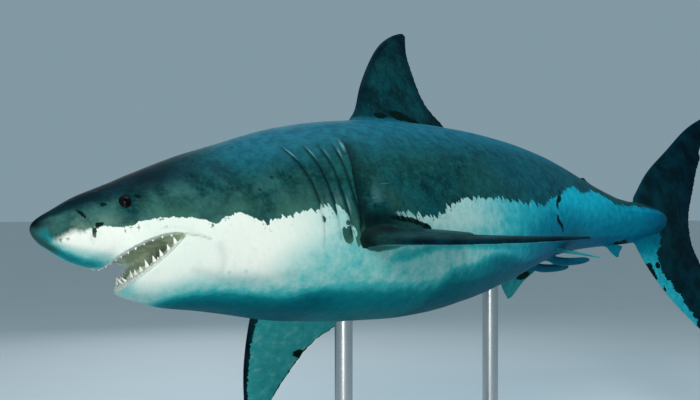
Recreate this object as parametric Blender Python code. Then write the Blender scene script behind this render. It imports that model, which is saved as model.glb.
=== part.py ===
"""Great white shark, life size, as a still museum model held above a plain stand.

The body is described in a straight swimming frame whose unit is the total length: x runs from
the snout tip toward the tail, y toward the shark's right side, z up.  Every point is then bent
along the spine, banked, scaled to metres and lifted above the stand.
Model frame: +X toward the tail, -Y the left side, +Z up, origin under the middle of the base.
"""
import math

import bmesh
import bpy
import numpy as np

LENGTH = 4.2          # total length of the shark, snout tip to upper tail tip, m
BANK = 18.5           # roll, degrees: left side raised, belly turned to the left
SNOUT_HEIGHT = 1.16   # height of the snout tip above the floor, m
BASE_X, BASE_Y = 0.393, 0.0125   # point of the body above the middle of the base
CUT = 0.00030 / LENGTH         # clear gap between neighbouring pieces
ROOT_CUT = 0.00050 / LENGTH    # clear gap between a fin root and the body
BLUNT = 0.0010 / LENGTH        # half thickness left at a fin's trailing edge

# Spine: heading of the body axis (degrees, positive swings the tail to the left) by station
SPINE_AT = [0.10, 0.25, 0.40, 0.55, 0.70, 0.82, 0.95, 1.10]
SPINE_HEADING = [0.0, -0.6, -5.5, -8.4, -6.0, 3.4, 7.8, 10.0]

# Body sections: station, top, bottom, half width, level of the widest line, fullness above / below
BODY = [
    (0.000, -0.0015, -0.0015, 0.0000, -0.0015, 2.00, 2.00),
    (0.006, 0.0062, -0.0116, 0.0105, -0.0025, 2.00, 2.00),
    (0.020, 0.0136, -0.0217, 0.0184, -0.0040, 2.00, 2.10),
    (0.040, 0.0233, -0.0304, 0.0263, -0.0050, 2.00, 2.15),
    (0.050, 0.0269, -0.0322, 0.0303, -0.0057, 2.00, 2.15),
    (0.055, 0.0287, -0.0336, 0.0322, -0.0062, 2.00, 2.15),
    (0.062, 0.0312, -0.0425, 0.0346, -0.0070, 2.00, 2.10),
    (0.069, 0.0336, -0.0540, 0.0370, -0.0075, 2.00, 2.00),
    (0.080, 0.0378, -0.0600, 0.0405, -0.0080, 2.00, 1.95),
    (0.100, 0.0451, -0.0658, 0.0466, -0.0090, 2.00, 1.95),
    (0.130, 0.0553, -0.0695, 0.0544, -0.0100, 2.05, 2.05),
    (0.170, 0.0664, -0.0750, 0.0633, -0.0100, 2.10, 2.15),
    (0.220, 0.0799, -0.0824, 0.0724, -0.0100, 2.10, 2.25),
    (0.280, 0.0898, -0.0868, 0.0794, -0.0090, 2.10, 2.30),
    (0.340, 0.0950, -0.0883, 0.0833, -0.0070, 2.05, 2.30),
    (0.400, 0.0971, -0.0855, 0.0828, -0.0040, 2.00, 2.30),
    (0.460, 0.0962, -0.0755, 0.0788, 0.0000, 2.00, 2.20),
    (0.520, 0.0933, -0.0615, 0.0723, 0.0040, 2.00, 2.10),
    (0.580, 0.0873, -0.0450, 0.0637, 0.0090, 2.00, 2.00),
    (0.640, 0.0768, -0.0307, 0.0533, 0.0125, 2.00, 1.90),
    (0.700, 0.0625, -0.0222, 0.0426, 0.0145, 1.85, 1.75),
    (0.750, 0.0488, -0.0190, 0.0350, 0.0140, 1.65, 1.55),
    (0.790, 0.0385, -0.0175, 0.0305, 0.0125, 1.45, 1.40),
    (0.825, 0.0335, -0.0152, 0.0280, 0.0110, 1.35, 1.35),
    (0.850, 0.0283, -0.0108, 0.0215, 0.0098, 1.35, 1.35),
    (0.872, 0.0210, -0.0005, 0.0070, 0.0095, 1.60, 1.60),
]
AROUND = 30           # facets round the body

# Where the body is divided
HEAD_END, GILL_END, TRUNK_END, BODY_END = 0.165, 0.278, 0.615, 0.872
STATIONS = [0.0012, 0.004, 0.009, 0.016, 0.026, 0.037, 0.047, 0.055, 0.062, 0.069, 0.077, 0.087, 0.099, 0.112,
            0.126, 0.140, 0.152, 0.165, 0.185, 0.208, 0.232, 0.256, 0.278, 0.305, 0.335, 0.365, 0.395, 0.425,
            0.455, 0.485, 0.515, 0.545, 0.572, 0.594, 0.615, 0.642, 0.669, 0.696, 0.720, 0.743, 0.766, 0.788,
            0.808, 0.826, 0.842, 0.856, 0.872]

# Mouth, seen from the side: the open wedge between the lips, hinged at the corner of the jaw
MOUTH = [(0.1035, -0.0220), (0.0960, -0.0197), (0.0860, -0.0200), (0.0770, -0.0220), (0.0700, -0.0242),
         (0.0645, -0.0262), (0.0600, -0.0284), (0.0560, -0.0304), (0.0532, -0.0345), (0.0515, -0.0440),
         (0.0515, -0.0900), (0.0600, -0.0560), (0.0667, -0.0512), (0.0705, -0.0488), (0.0760, -0.0448),
         (0.0890, -0.0352)]
LIP_UPPER = (0.0552, MOUTH[8::-1])    # station of the front of the lip, and its side view
LIP_LOWER = (0.0685, MOUTH[12:] + MOUTH[:1])
PALATE = ((0.0860, 0.0, -0.0245), (0.0230, 0.0260, 0.0100))    # centre and radii of the hollow palate
GULLET = ((0.0930, 0.0, -0.0425), (0.0210, 0.0240, 0.0120))    # hollow of the jaw floor
JAW_HINGE = [(0.1035, -0.0220), (0.1240, -0.0400), (0.1420, -0.1000)]    # cut from mouth corner to throat

EYE_AT, EYE_LEVEL, EYE_RADIUS = 0.0630, 0.0080, 0.0058
NOSTRIL_AT, NOSTRIL_LEVEL = 0.0370, -0.0120

# Gill slits: (station, level) down the side of each, front to back
GILLS = [
    [(0.2030, 0.050), (0.2105, 0.030), (0.2155, 0.008), (0.2170, -0.014), (0.2160, -0.042)],
    [(0.2225, 0.050), (0.2270, 0.030), (0.2295, 0.006), (0.2310, -0.016), (0.2315, -0.038)],
    [(0.2370, 0.050), (0.2395, 0.030), (0.2402, 0.006), (0.2415, -0.016), (0.2425, -0.036)],
    [(0.2520, 0.050), (0.2512, 0.030), (0.2502, 0.006), (0.2512, -0.016), (0.2525, -0.034)],
    [(0.2660, 0.055), (0.2600, 0.032), (0.2545, 0.006), (0.2530, -0.018), (0.2535, -0.032)],
]
GILL_DEPTH, GILL_WIDTH = 0.0050, 0.0011

# Fins, root to tip: leading edge (back, out), trailing edge (back, out), half thickness
DORSAL = [
    (0.3260, 0.0700, 0.4660, 0.0700, 0.0085),
    (0.3340, 0.0935, 0.4690, 0.0960, 0.0072),
    (0.3500, 0.1095, 0.4845, 0.1040, 0.0056),
    (0.3625, 0.1305, 0.4680, 0.1195, 0.0046),
    (0.3790, 0.1542, 0.4560, 0.1400, 0.0038),
    (0.3990, 0.1768, 0.4518, 0.1620, 0.0030),
    (0.4175, 0.1914, 0.4500, 0.1800, 0.0022),
    (0.4360, 0.2006, 0.4530, 0.1945, 0.0014),
    (0.4500, 0.2048, 0.4555, 0.2025, 0.0008),
]
DORSAL_SMALL = [
    (0.7200, 0.0400, 0.7420, 0.0400, 0.0022),
    (0.7240, 0.0550, 0.7440, 0.0492, 0.0017),
    (0.7300, 0.0602, 0.7600, 0.0520, 0.0011),
    (0.7365, 0.0640, 0.7500, 0.0592, 0.0008),
    (0.7410, 0.0650, 0.7450, 0.0640, 0.0005),
]
ANAL = [
    (0.7440, 0.0000, 0.7700, 0.0000, 0.0022),
    (0.7480, -0.0180, 0.7720, -0.0170, 0.0017),
    (0.7530, -0.0235, 0.7830, -0.0200, 0.0011),
    (0.7610, -0.0300, 0.7750, -0.0275, 0.0008),
    (0.7670, -0.0335, 0.7710, -0.0327, 0.0005),
]
TAIL_UPPER = [
    (0.8020, 0.0082, 0.9204, 0.0082, 0.0090),
    (0.8180, 0.0240, 0.9280, 0.0225, 0.0080),
    (0.8290, 0.0385, 0.9400, 0.0398, 0.0066),
    (0.8420, 0.0505, 0.9530, 0.0590, 0.0055),
    (0.8610, 0.0668, 0.9660, 0.0770, 0.0046),
    (0.8860, 0.0835, 0.9765, 0.0900, 0.0038),
    (0.9170, 0.1013, 0.9785, 0.0990, 0.0030),
    (0.9520, 0.1225, 0.9990, 0.1200, 0.0022),
    (0.9780, 0.1352, 1.0060, 0.1340, 0.0014),
    (0.9990, 0.1430, 1.0090, 0.1440, 0.0008),
]
TAIL_LOWER = [
    (0.8020, 0.0080, 0.9204, 0.0080, 0.0090),
    (0.8040, -0.0060, 0.9155, -0.0070, 0.0080),
    (0.8110, -0.0225, 0.9130, -0.0260, 0.0066),
    (0.8200, -0.0456, 0.9165, -0.0440, 0.0055),
    (0.8338, -0.0702, 0.9220, -0.0680, 0.0045),
    (0.8484, -0.0912, 0.9255, -0.0900, 0.0036),
    (0.8648, -0.1101, 0.9270, -0.1110, 0.0028),
    (0.8830, -0.1295, 0.9260, -0.1300, 0.0020),
    (0.9000, -0.1440, 0.9215, -0.1450, 0.0013),
    (0.9110, -0.1510, 0.9160, -0.1520, 0.0008),
]
PECTORAL = [
    (-0.004, -0.030, 0.068, -0.030, 0.0090),
    (0.000, 0.000, 0.0710, 0.000, 0.0078),
    (0.0060, 0.0180, 0.1100, 0.0070, 0.0062),
    (0.0140, 0.0390, 0.0990, 0.0340, 0.0053),
    (0.0355, 0.0840, 0.0915, 0.0700, 0.0044),
    (0.0600, 0.1230, 0.0900, 0.1070, 0.0034),
    (0.0805, 0.1510, 0.0940, 0.1390, 0.0024),
    (0.0940, 0.1665, 0.1000, 0.1605, 0.0015),
    (0.1015, 0.1740, 0.1040, 0.1725, 0.0008),
]
PELVIC = [
    (0.000, -0.020, 0.046, -0.020, 0.0032),
    (0.000, 0.000, 0.0500, 0.000, 0.0027),
    (0.0080, 0.0120, 0.0740, 0.0060, 0.0019),
    (0.0180, 0.0240, 0.0600, 0.0180, 0.0014),
    (0.0280, 0.0340, 0.0500, 0.0290, 0.0010),
    (0.0360, 0.0410, 0.0420, 0.0390, 0.0006),
]
# Paired fins: station and level of the front of the root, droop, pitch, sweep (degrees), curl, size
PECTORAL_LEFT = (0.2500, -0.0370, 20.2, -3.5, -9.9, -0.19, 0.949)
PECTORAL_RIGHT = (0.2500, -0.0370, 37.5, 11.6, -11.3, 0.33, 1.0)
PELVIC_LEFT = (0.5740, -0.0350, 26.0, 4.0, 6.0, 0.0, 0.95)
PELVIC_RIGHT = (0.5740, -0.0350, 52.0, 4.0, 6.0, 0.0, 0.95)

# Claspers: centre line (station, out, level) and radius, on the inner side of each pelvic fin
CLASPER = [
    (0.592, 0.012, -0.0330, 0.0040), (0.612, 0.0125, -0.0395, 0.0046), (0.632, 0.0130, -0.0415, 0.0046),
    (0.654, 0.0135, -0.0410, 0.0043), (0.672, 0.0140, -0.0400, 0.0036), (0.683, 0.0142, -0.0395, 0.0018),
]

# Teeth: how many on each side, and the height and width of the front ones
UPPER_TEETH, UPPER_TOOTH = 10, (0.0030, 0.0036)
TOOTH_INSET = 0.0032
LOWER_TEETH, LOWER_TOOTH = 9, (0.0072, 0.0040)

# Stand, in metres
BASE_LENGTH, BASE_WIDTH, BASE_THICK, BASE_CORNER = 2.10, 0.86, 0.040, 0.10
ROD_RADIUS, COLLAR_RADIUS, COLLAR_HEIGHT = 0.034, 0.080, 0.030
ROD_FRONT, ROD_REAR = 0.305, 0.525     # stations of the two rods

# Finish of each kind of piece: colour, roughness, metallic
FINISHES = {
    "back": ((0.075, 0.105, 0.110, 1.0), 0.42, 0.0),
    "belly": ((0.640, 0.680, 0.650, 1.0), 0.45, 0.0),
    "fin": ((0.050, 0.070, 0.080, 1.0), 0.42, 0.0),
    "mouth": ((0.300, 0.330, 0.260, 1.0), 0.35, 0.0),
    "eye": ((0.006, 0.007, 0.009, 1.0), 0.06, 0.0),
    "plate": ((0.055, 0.058, 0.062, 1.0), 0.40, 0.0),
    "rod": ((0.560, 0.570, 0.580, 1.0), 0.28, 1.0),
}
FINISH_OF = {
    "head": "back", "gill": "back", "trunk": "back", "tail": "back", "lower": "belly", "tongue": "mouth",
    "eye": "eye", "stand_base": "plate", "stand_rod": "rod",
}


def spline(x, xs, ys):
    """Natural cubic through the points (xs, ys)."""
    x, xs, ys = (np.asarray(v, float) for v in (x, xs, ys))
    n, h = len(xs), np.diff(xs)
    system, right = np.eye(n), np.zeros(n)
    for i in range(1, n - 1):
        system[i, i - 1:i + 2] = h[i - 1], 2 * (h[i - 1] + h[i]), h[i]
        right[i] = 3 * ((ys[i + 1] - ys[i]) / h[i] - (ys[i] - ys[i - 1]) / h[i - 1])
    c = np.linalg.solve(system, right)
    b = np.diff(ys) / h - h * (2 * c[:-1] + c[1:]) / 3
    d = np.diff(c) / (3 * h)
    i = np.clip(np.searchsorted(xs, x) - 1, 0, n - 2)
    t = x - xs[i]
    return ys[i] + t * (b[i] + t * (c[i] + t * d[i]))


BODY_TABLE = np.array(BODY)
BODY_KNOTS = np.sqrt(BODY_TABLE[:, 0])


def section(station):
    """Top, bottom, half width, widest level and fullness of the body at a station."""
    q = np.sqrt(np.maximum(station, 0.0))
    return [spline(q, BODY_KNOTS, BODY_TABLE[:, k]) for k in range(1, 7)]


def body_point(station, angle, grow=0.0):
    """Point of the body's surface; angle 0 is the back, pi/2 the left side, pi the belly."""
    top, bottom, width, level, above, below = section(station)
    c, s = np.cos(angle), np.sin(angle)
    fullness = np.where(c >= 0, above, below)
    y = -(width + grow) * np.sign(s) * np.abs(s) ** (2 / fullness)
    reach = np.where(c >= 0, top + grow - level, level - bottom + grow)
    z = level + reach * np.sign(c) * np.abs(c) ** (2 / fullness)
    return np.stack([station + 0 * angle, y, z], -1)


def side(station, height):
    """Half width of the body at a level."""
    top, bottom, width, level, above, below = section(station)
    upper = height >= level
    share = (height - level) / (top - level) if upper else (level - height) / (level - bottom)
    fullness = above if upper else below
    return float(width * max(1 - min(abs(share), 1) ** fullness, 0) ** (1 / fullness))


def spine_track():
    """Axis of the body in plan: station, x, y."""
    station = np.linspace(-0.02, 1.10, 561)
    turn = np.radians(heading(station))
    step = np.diff(station)
    x = np.concatenate([[0], np.cumsum((np.cos(turn[1:]) + np.cos(turn[:-1])) / 2 * step)]) - 0.02
    y = -np.concatenate([[0], np.cumsum((np.sin(turn[1:]) + np.sin(turn[:-1])) / 2 * step)])
    return station, x, y


def heading(station):
    """Heading of the axis, degrees."""
    return spline(np.clip(station, SPINE_AT[0], SPINE_AT[-1]), SPINE_AT, SPINE_HEADING)


TRACK = spine_track()


def pose(points):
    """Straight body frame (total lengths) to the model frame (metres)."""
    points = np.atleast_2d(np.asarray(points, float))
    x, y, z = points.T
    turn = np.radians(heading(x))
    bent_x = np.interp(x, TRACK[0], TRACK[1]) + y * np.sin(turn)
    bent_y = np.interp(x, TRACK[0], TRACK[2]) + y * np.cos(turn)
    roll = math.radians(BANK)
    banked_y = bent_y * math.cos(roll) + z * math.sin(roll)
    banked_z = -bent_y * math.sin(roll) + z * math.cos(roll)
    placed = [bent_x - BASE_X, banked_y - BASE_Y, banked_z + SNOUT_HEIGHT / LENGTH]
    return np.stack(placed, -1) * LENGTH


def clear_scene():
    for old in list(bpy.data.objects):
        bpy.data.objects.remove(old, do_unlink=True)


def make(name, points, faces, posed=True):
    """Mesh object from points in the body frame (or in metres when posed is False)."""
    mesh = bpy.data.meshes.new(name)
    mesh.from_pydata([tuple(p) for p in (pose(points) if posed else points)], [], [tuple(f) for f in faces])
    mesh.update()
    made = bpy.data.objects.new(name, mesh)
    bpy.context.scene.collection.objects.link(made)
    return made


def close_rings(rings, apex=None):
    """Points and faces of a closed body through rings of equal count; an apex closes the front."""
    count = len(rings[0])
    points = np.concatenate(rings)
    faces = []
    for i in range(len(rings) - 1):
        a, b = i * count, (i + 1) * count
        faces += [(a + j, a + (j + 1) % count, b + (j + 1) % count, b + j) for j in range(count)]
    front = rings[0].mean(0) if apex is None else np.array(apex)
    points = np.vstack([points, front, rings[-1].mean(0)])
    last = (len(rings) - 1) * count
    front_id, back_id = len(points) - 2, len(points) - 1
    faces += [(front_id, (j + 1) % count, j) for j in range(count)]
    faces += [(back_id, last + j, last + (j + 1) % count) for j in range(count)]
    return points, faces


def body_piece(name, start, end, grow=0.0):
    """Length of the body between two stations."""
    inner = [s for s in STATIONS if start + 1e-6 < s < end - 1e-6]
    stations = ([] if start <= 0 else [start]) + inner + [end]
    angles = np.arange(AROUND) * 2 * math.pi / AROUND
    rings = [body_point(np.full(AROUND, s), angles, grow) for s in stations]
    apex = (-grow, 0.0, BODY[0][1]) if start <= 0 else None
    return outward(make(name, *close_rings(rings, apex)))


def outward(thing):
    """Turn every face outward and split it into triangles."""
    work = bmesh.new()
    work.from_mesh(thing.data)
    bmesh.ops.recalc_face_normals(work, faces=work.faces)
    bmesh.ops.triangulate(work, faces=work.faces)
    work.to_mesh(thing.data)
    work.free()
    return thing


def airfoil(share):
    """Half thickness of a fin across its chord, 0 at the leading edge, 1 at its thickest."""
    return 2.969 * np.sqrt(share) - 1.26 * share - 3.516 * share ** 2 + 2.843 * share ** 3 - 1.015 * share ** 4


FIN_CHORD = (1 - np.cos(np.linspace(0, math.pi, 7))) / 2


def fin_rings(rows, count, place):
    """Sections of a fin: rows of the outline are joined smoothly and placed by a function."""
    table = np.array(rows)
    at = np.linspace(0, len(rows) - 1, count)
    front_c, front_h, back_c, back_h, half = (spline(at, np.arange(len(rows)), table[:, k]) for k in range(5))
    rings = []
    for fc, fh, bc, bh, t in zip(front_c, front_h, back_c, back_h, half):
        c, h = fc + (bc - fc) * FIN_CHORD, fh + (bh - fh) * FIN_CHORD
        lift = np.maximum(t * airfoil(FIN_CHORD), BLUNT)
        lift[0] = 0.0
        upper = np.stack([c, h, lift], -1)
        lower = np.stack([c, h, -lift], -1)[:0:-1]
        rings.append(place(np.vstack([upper, lower])))
    return rings


def upright(points):
    """Middle fins: back, out and lift become x, z and y."""
    return points[:, [0, 2, 1]]


def paired(spec, mirror):
    """Placement of a paired fin from its root position, droop, pitch, sweep, curl and size."""
    station, height, droop, pitch, sweep, curl, size = spec
    droop, pitch, sweep = (math.radians(v) for v in (droop, pitch, sweep))
    root = np.array([station, side(station, height) - 0.004, height])
    span = np.array([0, math.cos(droop), -math.sin(droop)])
    up = np.array([0, math.sin(droop), math.cos(droop)])
    back = np.array([math.cos(pitch), 0, 0]) - math.sin(pitch) * up

    def place(points):
        c, h, lift = (points * size).T
        c, h = c * math.cos(sweep) + h * math.sin(sweep), h * math.cos(sweep) - c * math.sin(sweep)
        out = root + c[:, None] * back + h[:, None] * span + (lift - curl * h ** 2)[:, None] * up
        out[:, 1] *= mirror
        return out
    return place


def fin(name, rows, count, place, cutters):
    """A fin, trimmed where it meets the body."""
    made = outward(make(name, *close_rings(fin_rings(rows, count, place))))
    for cutter in cutters:
        cut(made, cutter)
    return outward(made)


def boolean(thing, other, operation):
    """Apply one exact Boolean to a mesh object."""
    step = thing.modifiers.new("step", "BOOLEAN")
    step.operation = operation
    step.solver = "EXACT"
    step.object = other
    graph = bpy.context.evaluated_depsgraph_get()
    result = bpy.data.meshes.new_from_object(thing.evaluated_get(graph))
    thing.modifiers.clear()
    old = thing.data
    thing.data = result
    bpy.data.meshes.remove(old)


def cut(thing, tool):
    boolean(thing, tool, "DIFFERENCE")


def join(thing, tool):
    boolean(thing, tool, "UNION")


def drop(*things):
    for thing in things:
        bpy.data.objects.remove(thing, do_unlink=True)


def prism(name, outline, reach, posed=True):
    """Side-view outline (x, z) carried across the body from -reach to +reach."""
    count = len(outline)
    points = [(x, -reach, z) for x, z in outline] + [(x, reach, z) for x, z in outline]
    faces = [tuple(range(count)), tuple(range(2 * count - 1, count - 1, -1))]
    faces += [(j, (j + 1) % count, count + (j + 1) % count, count + j) for j in range(count)]
    return outward(make(name, points, faces, posed))


def ellipsoid(name, centre, radii, rings=8, around=14, posed=True):
    """Closed ellipsoid in the body frame."""
    loops = []
    for i in range(1, rings):
        a = math.pi * i / rings
        b = np.arange(around) * 2 * math.pi / around
        loops.append(np.stack([centre[0] - radii[0] * math.cos(a) + 0 * b,
                               centre[1] + radii[1] * math.sin(a) * np.cos(b),
                               centre[2] + radii[2] * math.sin(a) * np.sin(b)], -1))
    points, faces = close_rings(loops)
    points[-2] = (centre[0] - radii[0], centre[1], centre[2])
    points[-1] = (centre[0] + radii[0], centre[1], centre[2])
    return outward(make(name, points, faces, posed))


def tube(name, line, around=10):
    """Round rod along a centre line of (x, y, z, radius)."""
    rings = []
    b = np.arange(around) * 2 * math.pi / around
    for x, y, z, r in line:
        rings.append(np.stack([x + 0 * b, y + r * np.cos(b), z + r * np.sin(b)], -1))
    return outward(make(name, *close_rings(rings)))


def gill_cutter(name, line, mirror):
    """Thin curved blade that cuts one gill slit into the side of the body."""
    levels = np.array([p[1] for p in line])
    stations = np.array([p[0] for p in line])
    heights = np.linspace(levels[0], levels[-1], 6)
    order = np.argsort(levels)
    places = spline(heights, levels[order], stations[order])
    rings = []
    for i, (x, z) in enumerate(zip(places, heights)):
        fade = math.sin(math.pi * (i + 0.6) / (len(heights) + 0.2)) ** 0.5
        y = side(x, z)
        inner, outer = y - GILL_DEPTH * fade, y + 0.003
        half = GILL_WIDTH / 2
        slope = 0.45
        ring = [(x - half, outer), (x + half, outer), (x + half - slope * (outer - inner), inner),
                (x - half - slope * (outer - inner), inner)]
        rings.append(np.array([(a, mirror * b, z) for a, b in ring]))
    return outward(make(name, *close_rings(rings)))


def lip_points(lower, count):
    """Tooth places along one lip from the front middle to the corner, and the outward direction at each."""
    start, edge = LIP_LOWER if lower else LIP_UPPER
    xs, zs = np.array(edge).T
    x = start + (0.1015 - start) * np.linspace(0.03, 0.86, count) ** 1.35
    y = np.array([side(a, b) for a, b in zip(x, np.interp(x, xs, zs))])
    along = np.stack([np.gradient(x), np.gradient(y)], -1)
    outside = np.stack([-along[:, 1], along[:, 0]], -1) / np.linalg.norm(along, axis=1)[:, None]
    inner = np.stack([x, y], -1) - outside * TOOTH_INSET
    return np.column_stack([inner, np.interp(inner[:, 0], xs, zs)]), outside


def tooth(centre, across, up, height, width):
    """Flat pointed tooth: a four-sided blade sunk a little into its gum."""
    centre, across, up = (np.asarray(v, float) for v in (centre, across, up))
    across = across / np.linalg.norm(across)
    up = up / np.linalg.norm(up)
    thick = np.cross(across, up)
    base = centre - up * max(height * 0.35, 0.0024)
    points = [base + across * width / 2, base + thick * width * 0.22, base - across * width / 2,
              base - thick * width * 0.22, centre + up * height]
    return points, [(3, 2, 1, 0), (0, 1, 4), (1, 2, 4), (2, 3, 4), (3, 0, 4)]


def teeth(owner, lower):
    """Row of teeth along both sides of one jaw, joined to it."""
    count, (height, width) = (LOWER_TEETH, LOWER_TOOTH) if lower else (UPPER_TEETH, UPPER_TOOTH)
    places, outside = lip_points(lower, count)
    for i in range(count):
        share = i / (count - 1)
        across = np.array([outside[i][1], -outside[i][0], 0.0])
        up = np.array([0.35 * outside[i][0], 0.35 * outside[i][1], 1.0 if lower else -1.0])
        for mirror in (-1, 1):
            flip = np.array([1, mirror, 1])
            size = 1 - 0.5 * share
            points, faces = tooth(places[i] * flip, across * flip, up * flip, height * size, width * size)
            blade = outward(make("tooth", points, faces))
            join(owner, blade)
            drop(blade)


def build_head():
    """Head with the mouth, eyes and nostrils cut, the lower jaw freed, and the tongue."""
    head = body_piece("head", 0.0, HEAD_END - CUT / 2)
    wedge = prism("wedge", MOUTH, 0.080)
    for tool in (wedge, ellipsoid("palate", *PALATE), ellipsoid("gullet", *GULLET)):
        cut(head, tool)
        drop(tool)
    jaw = head.copy()
    jaw.data = head.data.copy()
    jaw.name = "lower_jaw"
    bpy.context.scene.collection.objects.link(jaw)
    hinge = JAW_HINGE
    keep_jaw = [(hinge[0][0] - 0.0012, hinge[0][1]), hinge[1], hinge[2], (0.0400, -0.1000), (0.0400, -0.0500),
                (0.0590, -0.0480), (0.0700, -0.0420)]
    region = prism("region", keep_jaw, 0.080)
    wide = list(keep_jaw)
    for corner, (more_x, more_z) in enumerate(((0.0, 0.00008), (0.00008, 0.00008), (0.00008, 0.0))):
        wide[corner] = (keep_jaw[corner][0] + more_x, keep_jaw[corner][1] + more_z)
    wider = prism("wider", wide, 0.082)
    boolean(jaw, region, "INTERSECT")
    cut(head, wider)
    drop(region, wider)
    eyes = []
    for name, mirror in (("eye_left", -1), ("eye_right", 1)):
        centre = (EYE_AT, mirror * (side(EYE_AT, EYE_LEVEL) - 0.0040), EYE_LEVEL)
        socket = ellipsoid("socket", centre, (EYE_RADIUS + CUT,) * 3, 8, 12)
        cut(head, socket)
        drop(socket)
        eyes.append(ellipsoid(name, centre, (EYE_RADIUS,) * 3, 8, 12))
        nose = (NOSTRIL_AT, mirror * side(NOSTRIL_AT, NOSTRIL_LEVEL), NOSTRIL_LEVEL)
        nostril = ellipsoid("nostril", nose, (0.0022, 0.0035, 0.0040), 6, 8)
        cut(head, nostril)
        drop(nostril)
    teeth(head, False)
    teeth(jaw, True)
    tongue = ellipsoid("tongue", (0.0940, 0.0, -0.0440), (0.0175, 0.0180, 0.0105))
    room = ellipsoid("room", GULLET[0], tuple(r - CUT * 1.5 for r in GULLET[1]))
    boolean(tongue, room, "INTERSECT")
    drop(room)
    for thing in (head, jaw, tongue):
        outward(thing)


def build_gills():
    """Gill region with five slits on each side."""
    gills = body_piece("gill_region", HEAD_END + CUT / 2, GILL_END - CUT / 2)
    for mirror in (-1, 1):
        for line in GILLS:
            blade = gill_cutter("slit", line, mirror)
            cut(gills, blade)
            drop(blade)
    outward(gills)


def build_fins():
    """All fins and the claspers, each trimmed against the body."""
    body = body_piece("trim", 0.0, BODY_END + ROOT_CUT, ROOT_CUT)
    fin("first_dorsal_fin", DORSAL, 12, upright, [body])
    fin("second_dorsal_fin", DORSAL_SMALL, 6, upright, [body])
    fin("anal_fin", ANAL, 6, upright, [body])
    fin("caudal_fin_upper_lobe", TAIL_UPPER, 13, upright, [body])
    fin("caudal_fin_lower_lobe", TAIL_LOWER, 13, upright, [body])
    fin("pectoral_fin_left", PECTORAL, 12, paired(PECTORAL_LEFT, -1), [body])
    fin("pectoral_fin_right", PECTORAL, 12, paired(PECTORAL_RIGHT, 1), [body])
    for side_name, spec, mirror in (("left", PELVIC_LEFT, -1), ("right", PELVIC_RIGHT, 1)):
        fin("pelvic_fin_" + side_name, PELVIC, 7, paired(spec, mirror), [body])
        clasper = tube("clasper_" + side_name, [(x, mirror * y, z, r) for x, y, z, r in CLASPER])
        cut(clasper, body)
        outward(clasper)
    drop(body)


def build_stand():
    """Base plate with rounded corners and two rods that end under the belly."""
    corners = []
    for cx, cy, start in ((1, 1, 0), (-1, 1, 90), (-1, -1, 180), (1, -1, 270)):
        for k in range(6):
            a = math.radians(start + 18 * k)
            corners.append((cx * (BASE_LENGTH / 2 - BASE_CORNER) + BASE_CORNER * math.cos(a),
                            cy * (BASE_WIDTH / 2 - BASE_CORNER) + BASE_CORNER * math.sin(a)))
    bevel = 0.006
    rings = []
    for z, shrink in ((0.0, 0.0), (BASE_THICK - bevel, 0.0), (BASE_THICK, bevel)):
        scale_x, scale_y = 1 - 2 * shrink / BASE_LENGTH, 1 - 2 * shrink / BASE_WIDTH
        rings.append(np.array([(x * scale_x, y * scale_y, z) for x, y in corners]))
    outward(make("stand_base", *close_rings(rings), posed=False))
    body = body_piece("trim", 0.0, BODY_END, ROOT_CUT)
    for name, station in (("stand_rod_front", ROD_FRONT), ("stand_rod_rear", ROD_REAR)):
        top = pose([(station, 0.0, 0.0)])[0]
        foot = BASE_THICK + 0.0003
        rings = []
        shoulder = foot + COLLAR_HEIGHT
        for z, r in ((foot, COLLAR_RADIUS), (shoulder - 0.006, COLLAR_RADIUS), (shoulder, COLLAR_RADIUS - 0.006),
                     (shoulder, ROD_RADIUS), (top[2], ROD_RADIUS)):
            b = np.arange(18) * 2 * math.pi / 18
            rings.append(np.stack([top[0] + r * np.cos(b), top[1] + r * np.sin(b), z + 0 * b], -1))
        rod = outward(make(name, *close_rings(rings), posed=False))
        cut(rod, body)
        outward(rod)
    drop(body)


def finish(thing, materials):
    """Origin at the piece's middle, smooth shading with sharp creases kept, and its material."""
    corners = np.array(thing.bound_box)
    middle = (corners.min(0) + corners.max(0)) / 2
    for vertex in thing.data.vertices:
        vertex.co = [c - m for c, m in zip(vertex.co, middle)]
    thing.location = middle
    thing.data.shade_smooth()
    thing.data.set_sharp_from_angle(angle=math.radians(40))
    kind = next((FINISH_OF[key] for key in FINISH_OF if thing.name.startswith(key)), "fin")
    thing.data.materials.clear()
    thing.data.materials.append(materials[kind])


def make_materials():
    materials = {}
    for name, (colour, roughness, metallic) in FINISHES.items():
        material = bpy.data.materials.new(name)
        material.use_nodes = True
        surface = material.node_tree.nodes["Principled BSDF"]
        surface.inputs["Base Color"].default_value = colour
        surface.inputs["Roughness"].default_value = roughness
        surface.inputs["Metallic"].default_value = metallic
        materials[name] = material
    return materials


def main():
    clear_scene()
    build_head()
    build_gills()
    body_piece("trunk", GILL_END + CUT / 2, TRUNK_END - CUT / 2)
    body_piece("tail_stock", TRUNK_END + CUT / 2, BODY_END)
    build_fins()
    build_stand()
    materials = make_materials()
    for thing in list(bpy.context.scene.objects):
        finish(thing, materials)


main()
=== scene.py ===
"""Looks of a life-size great white shark on a display stand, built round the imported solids.

The skin is modelled in a straight swimming frame whose unit is the total length: x runs from the
snout tip toward the tail, y toward the shark's right side, z up.  pose() bends it along the
spine, banks it, scales it to metres and lifts it above the stand.
"""
import math
from functools import reduce
from types import SimpleNamespace

import bmesh
import bpy
import numpy as np
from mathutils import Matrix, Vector, kdtree


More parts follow.
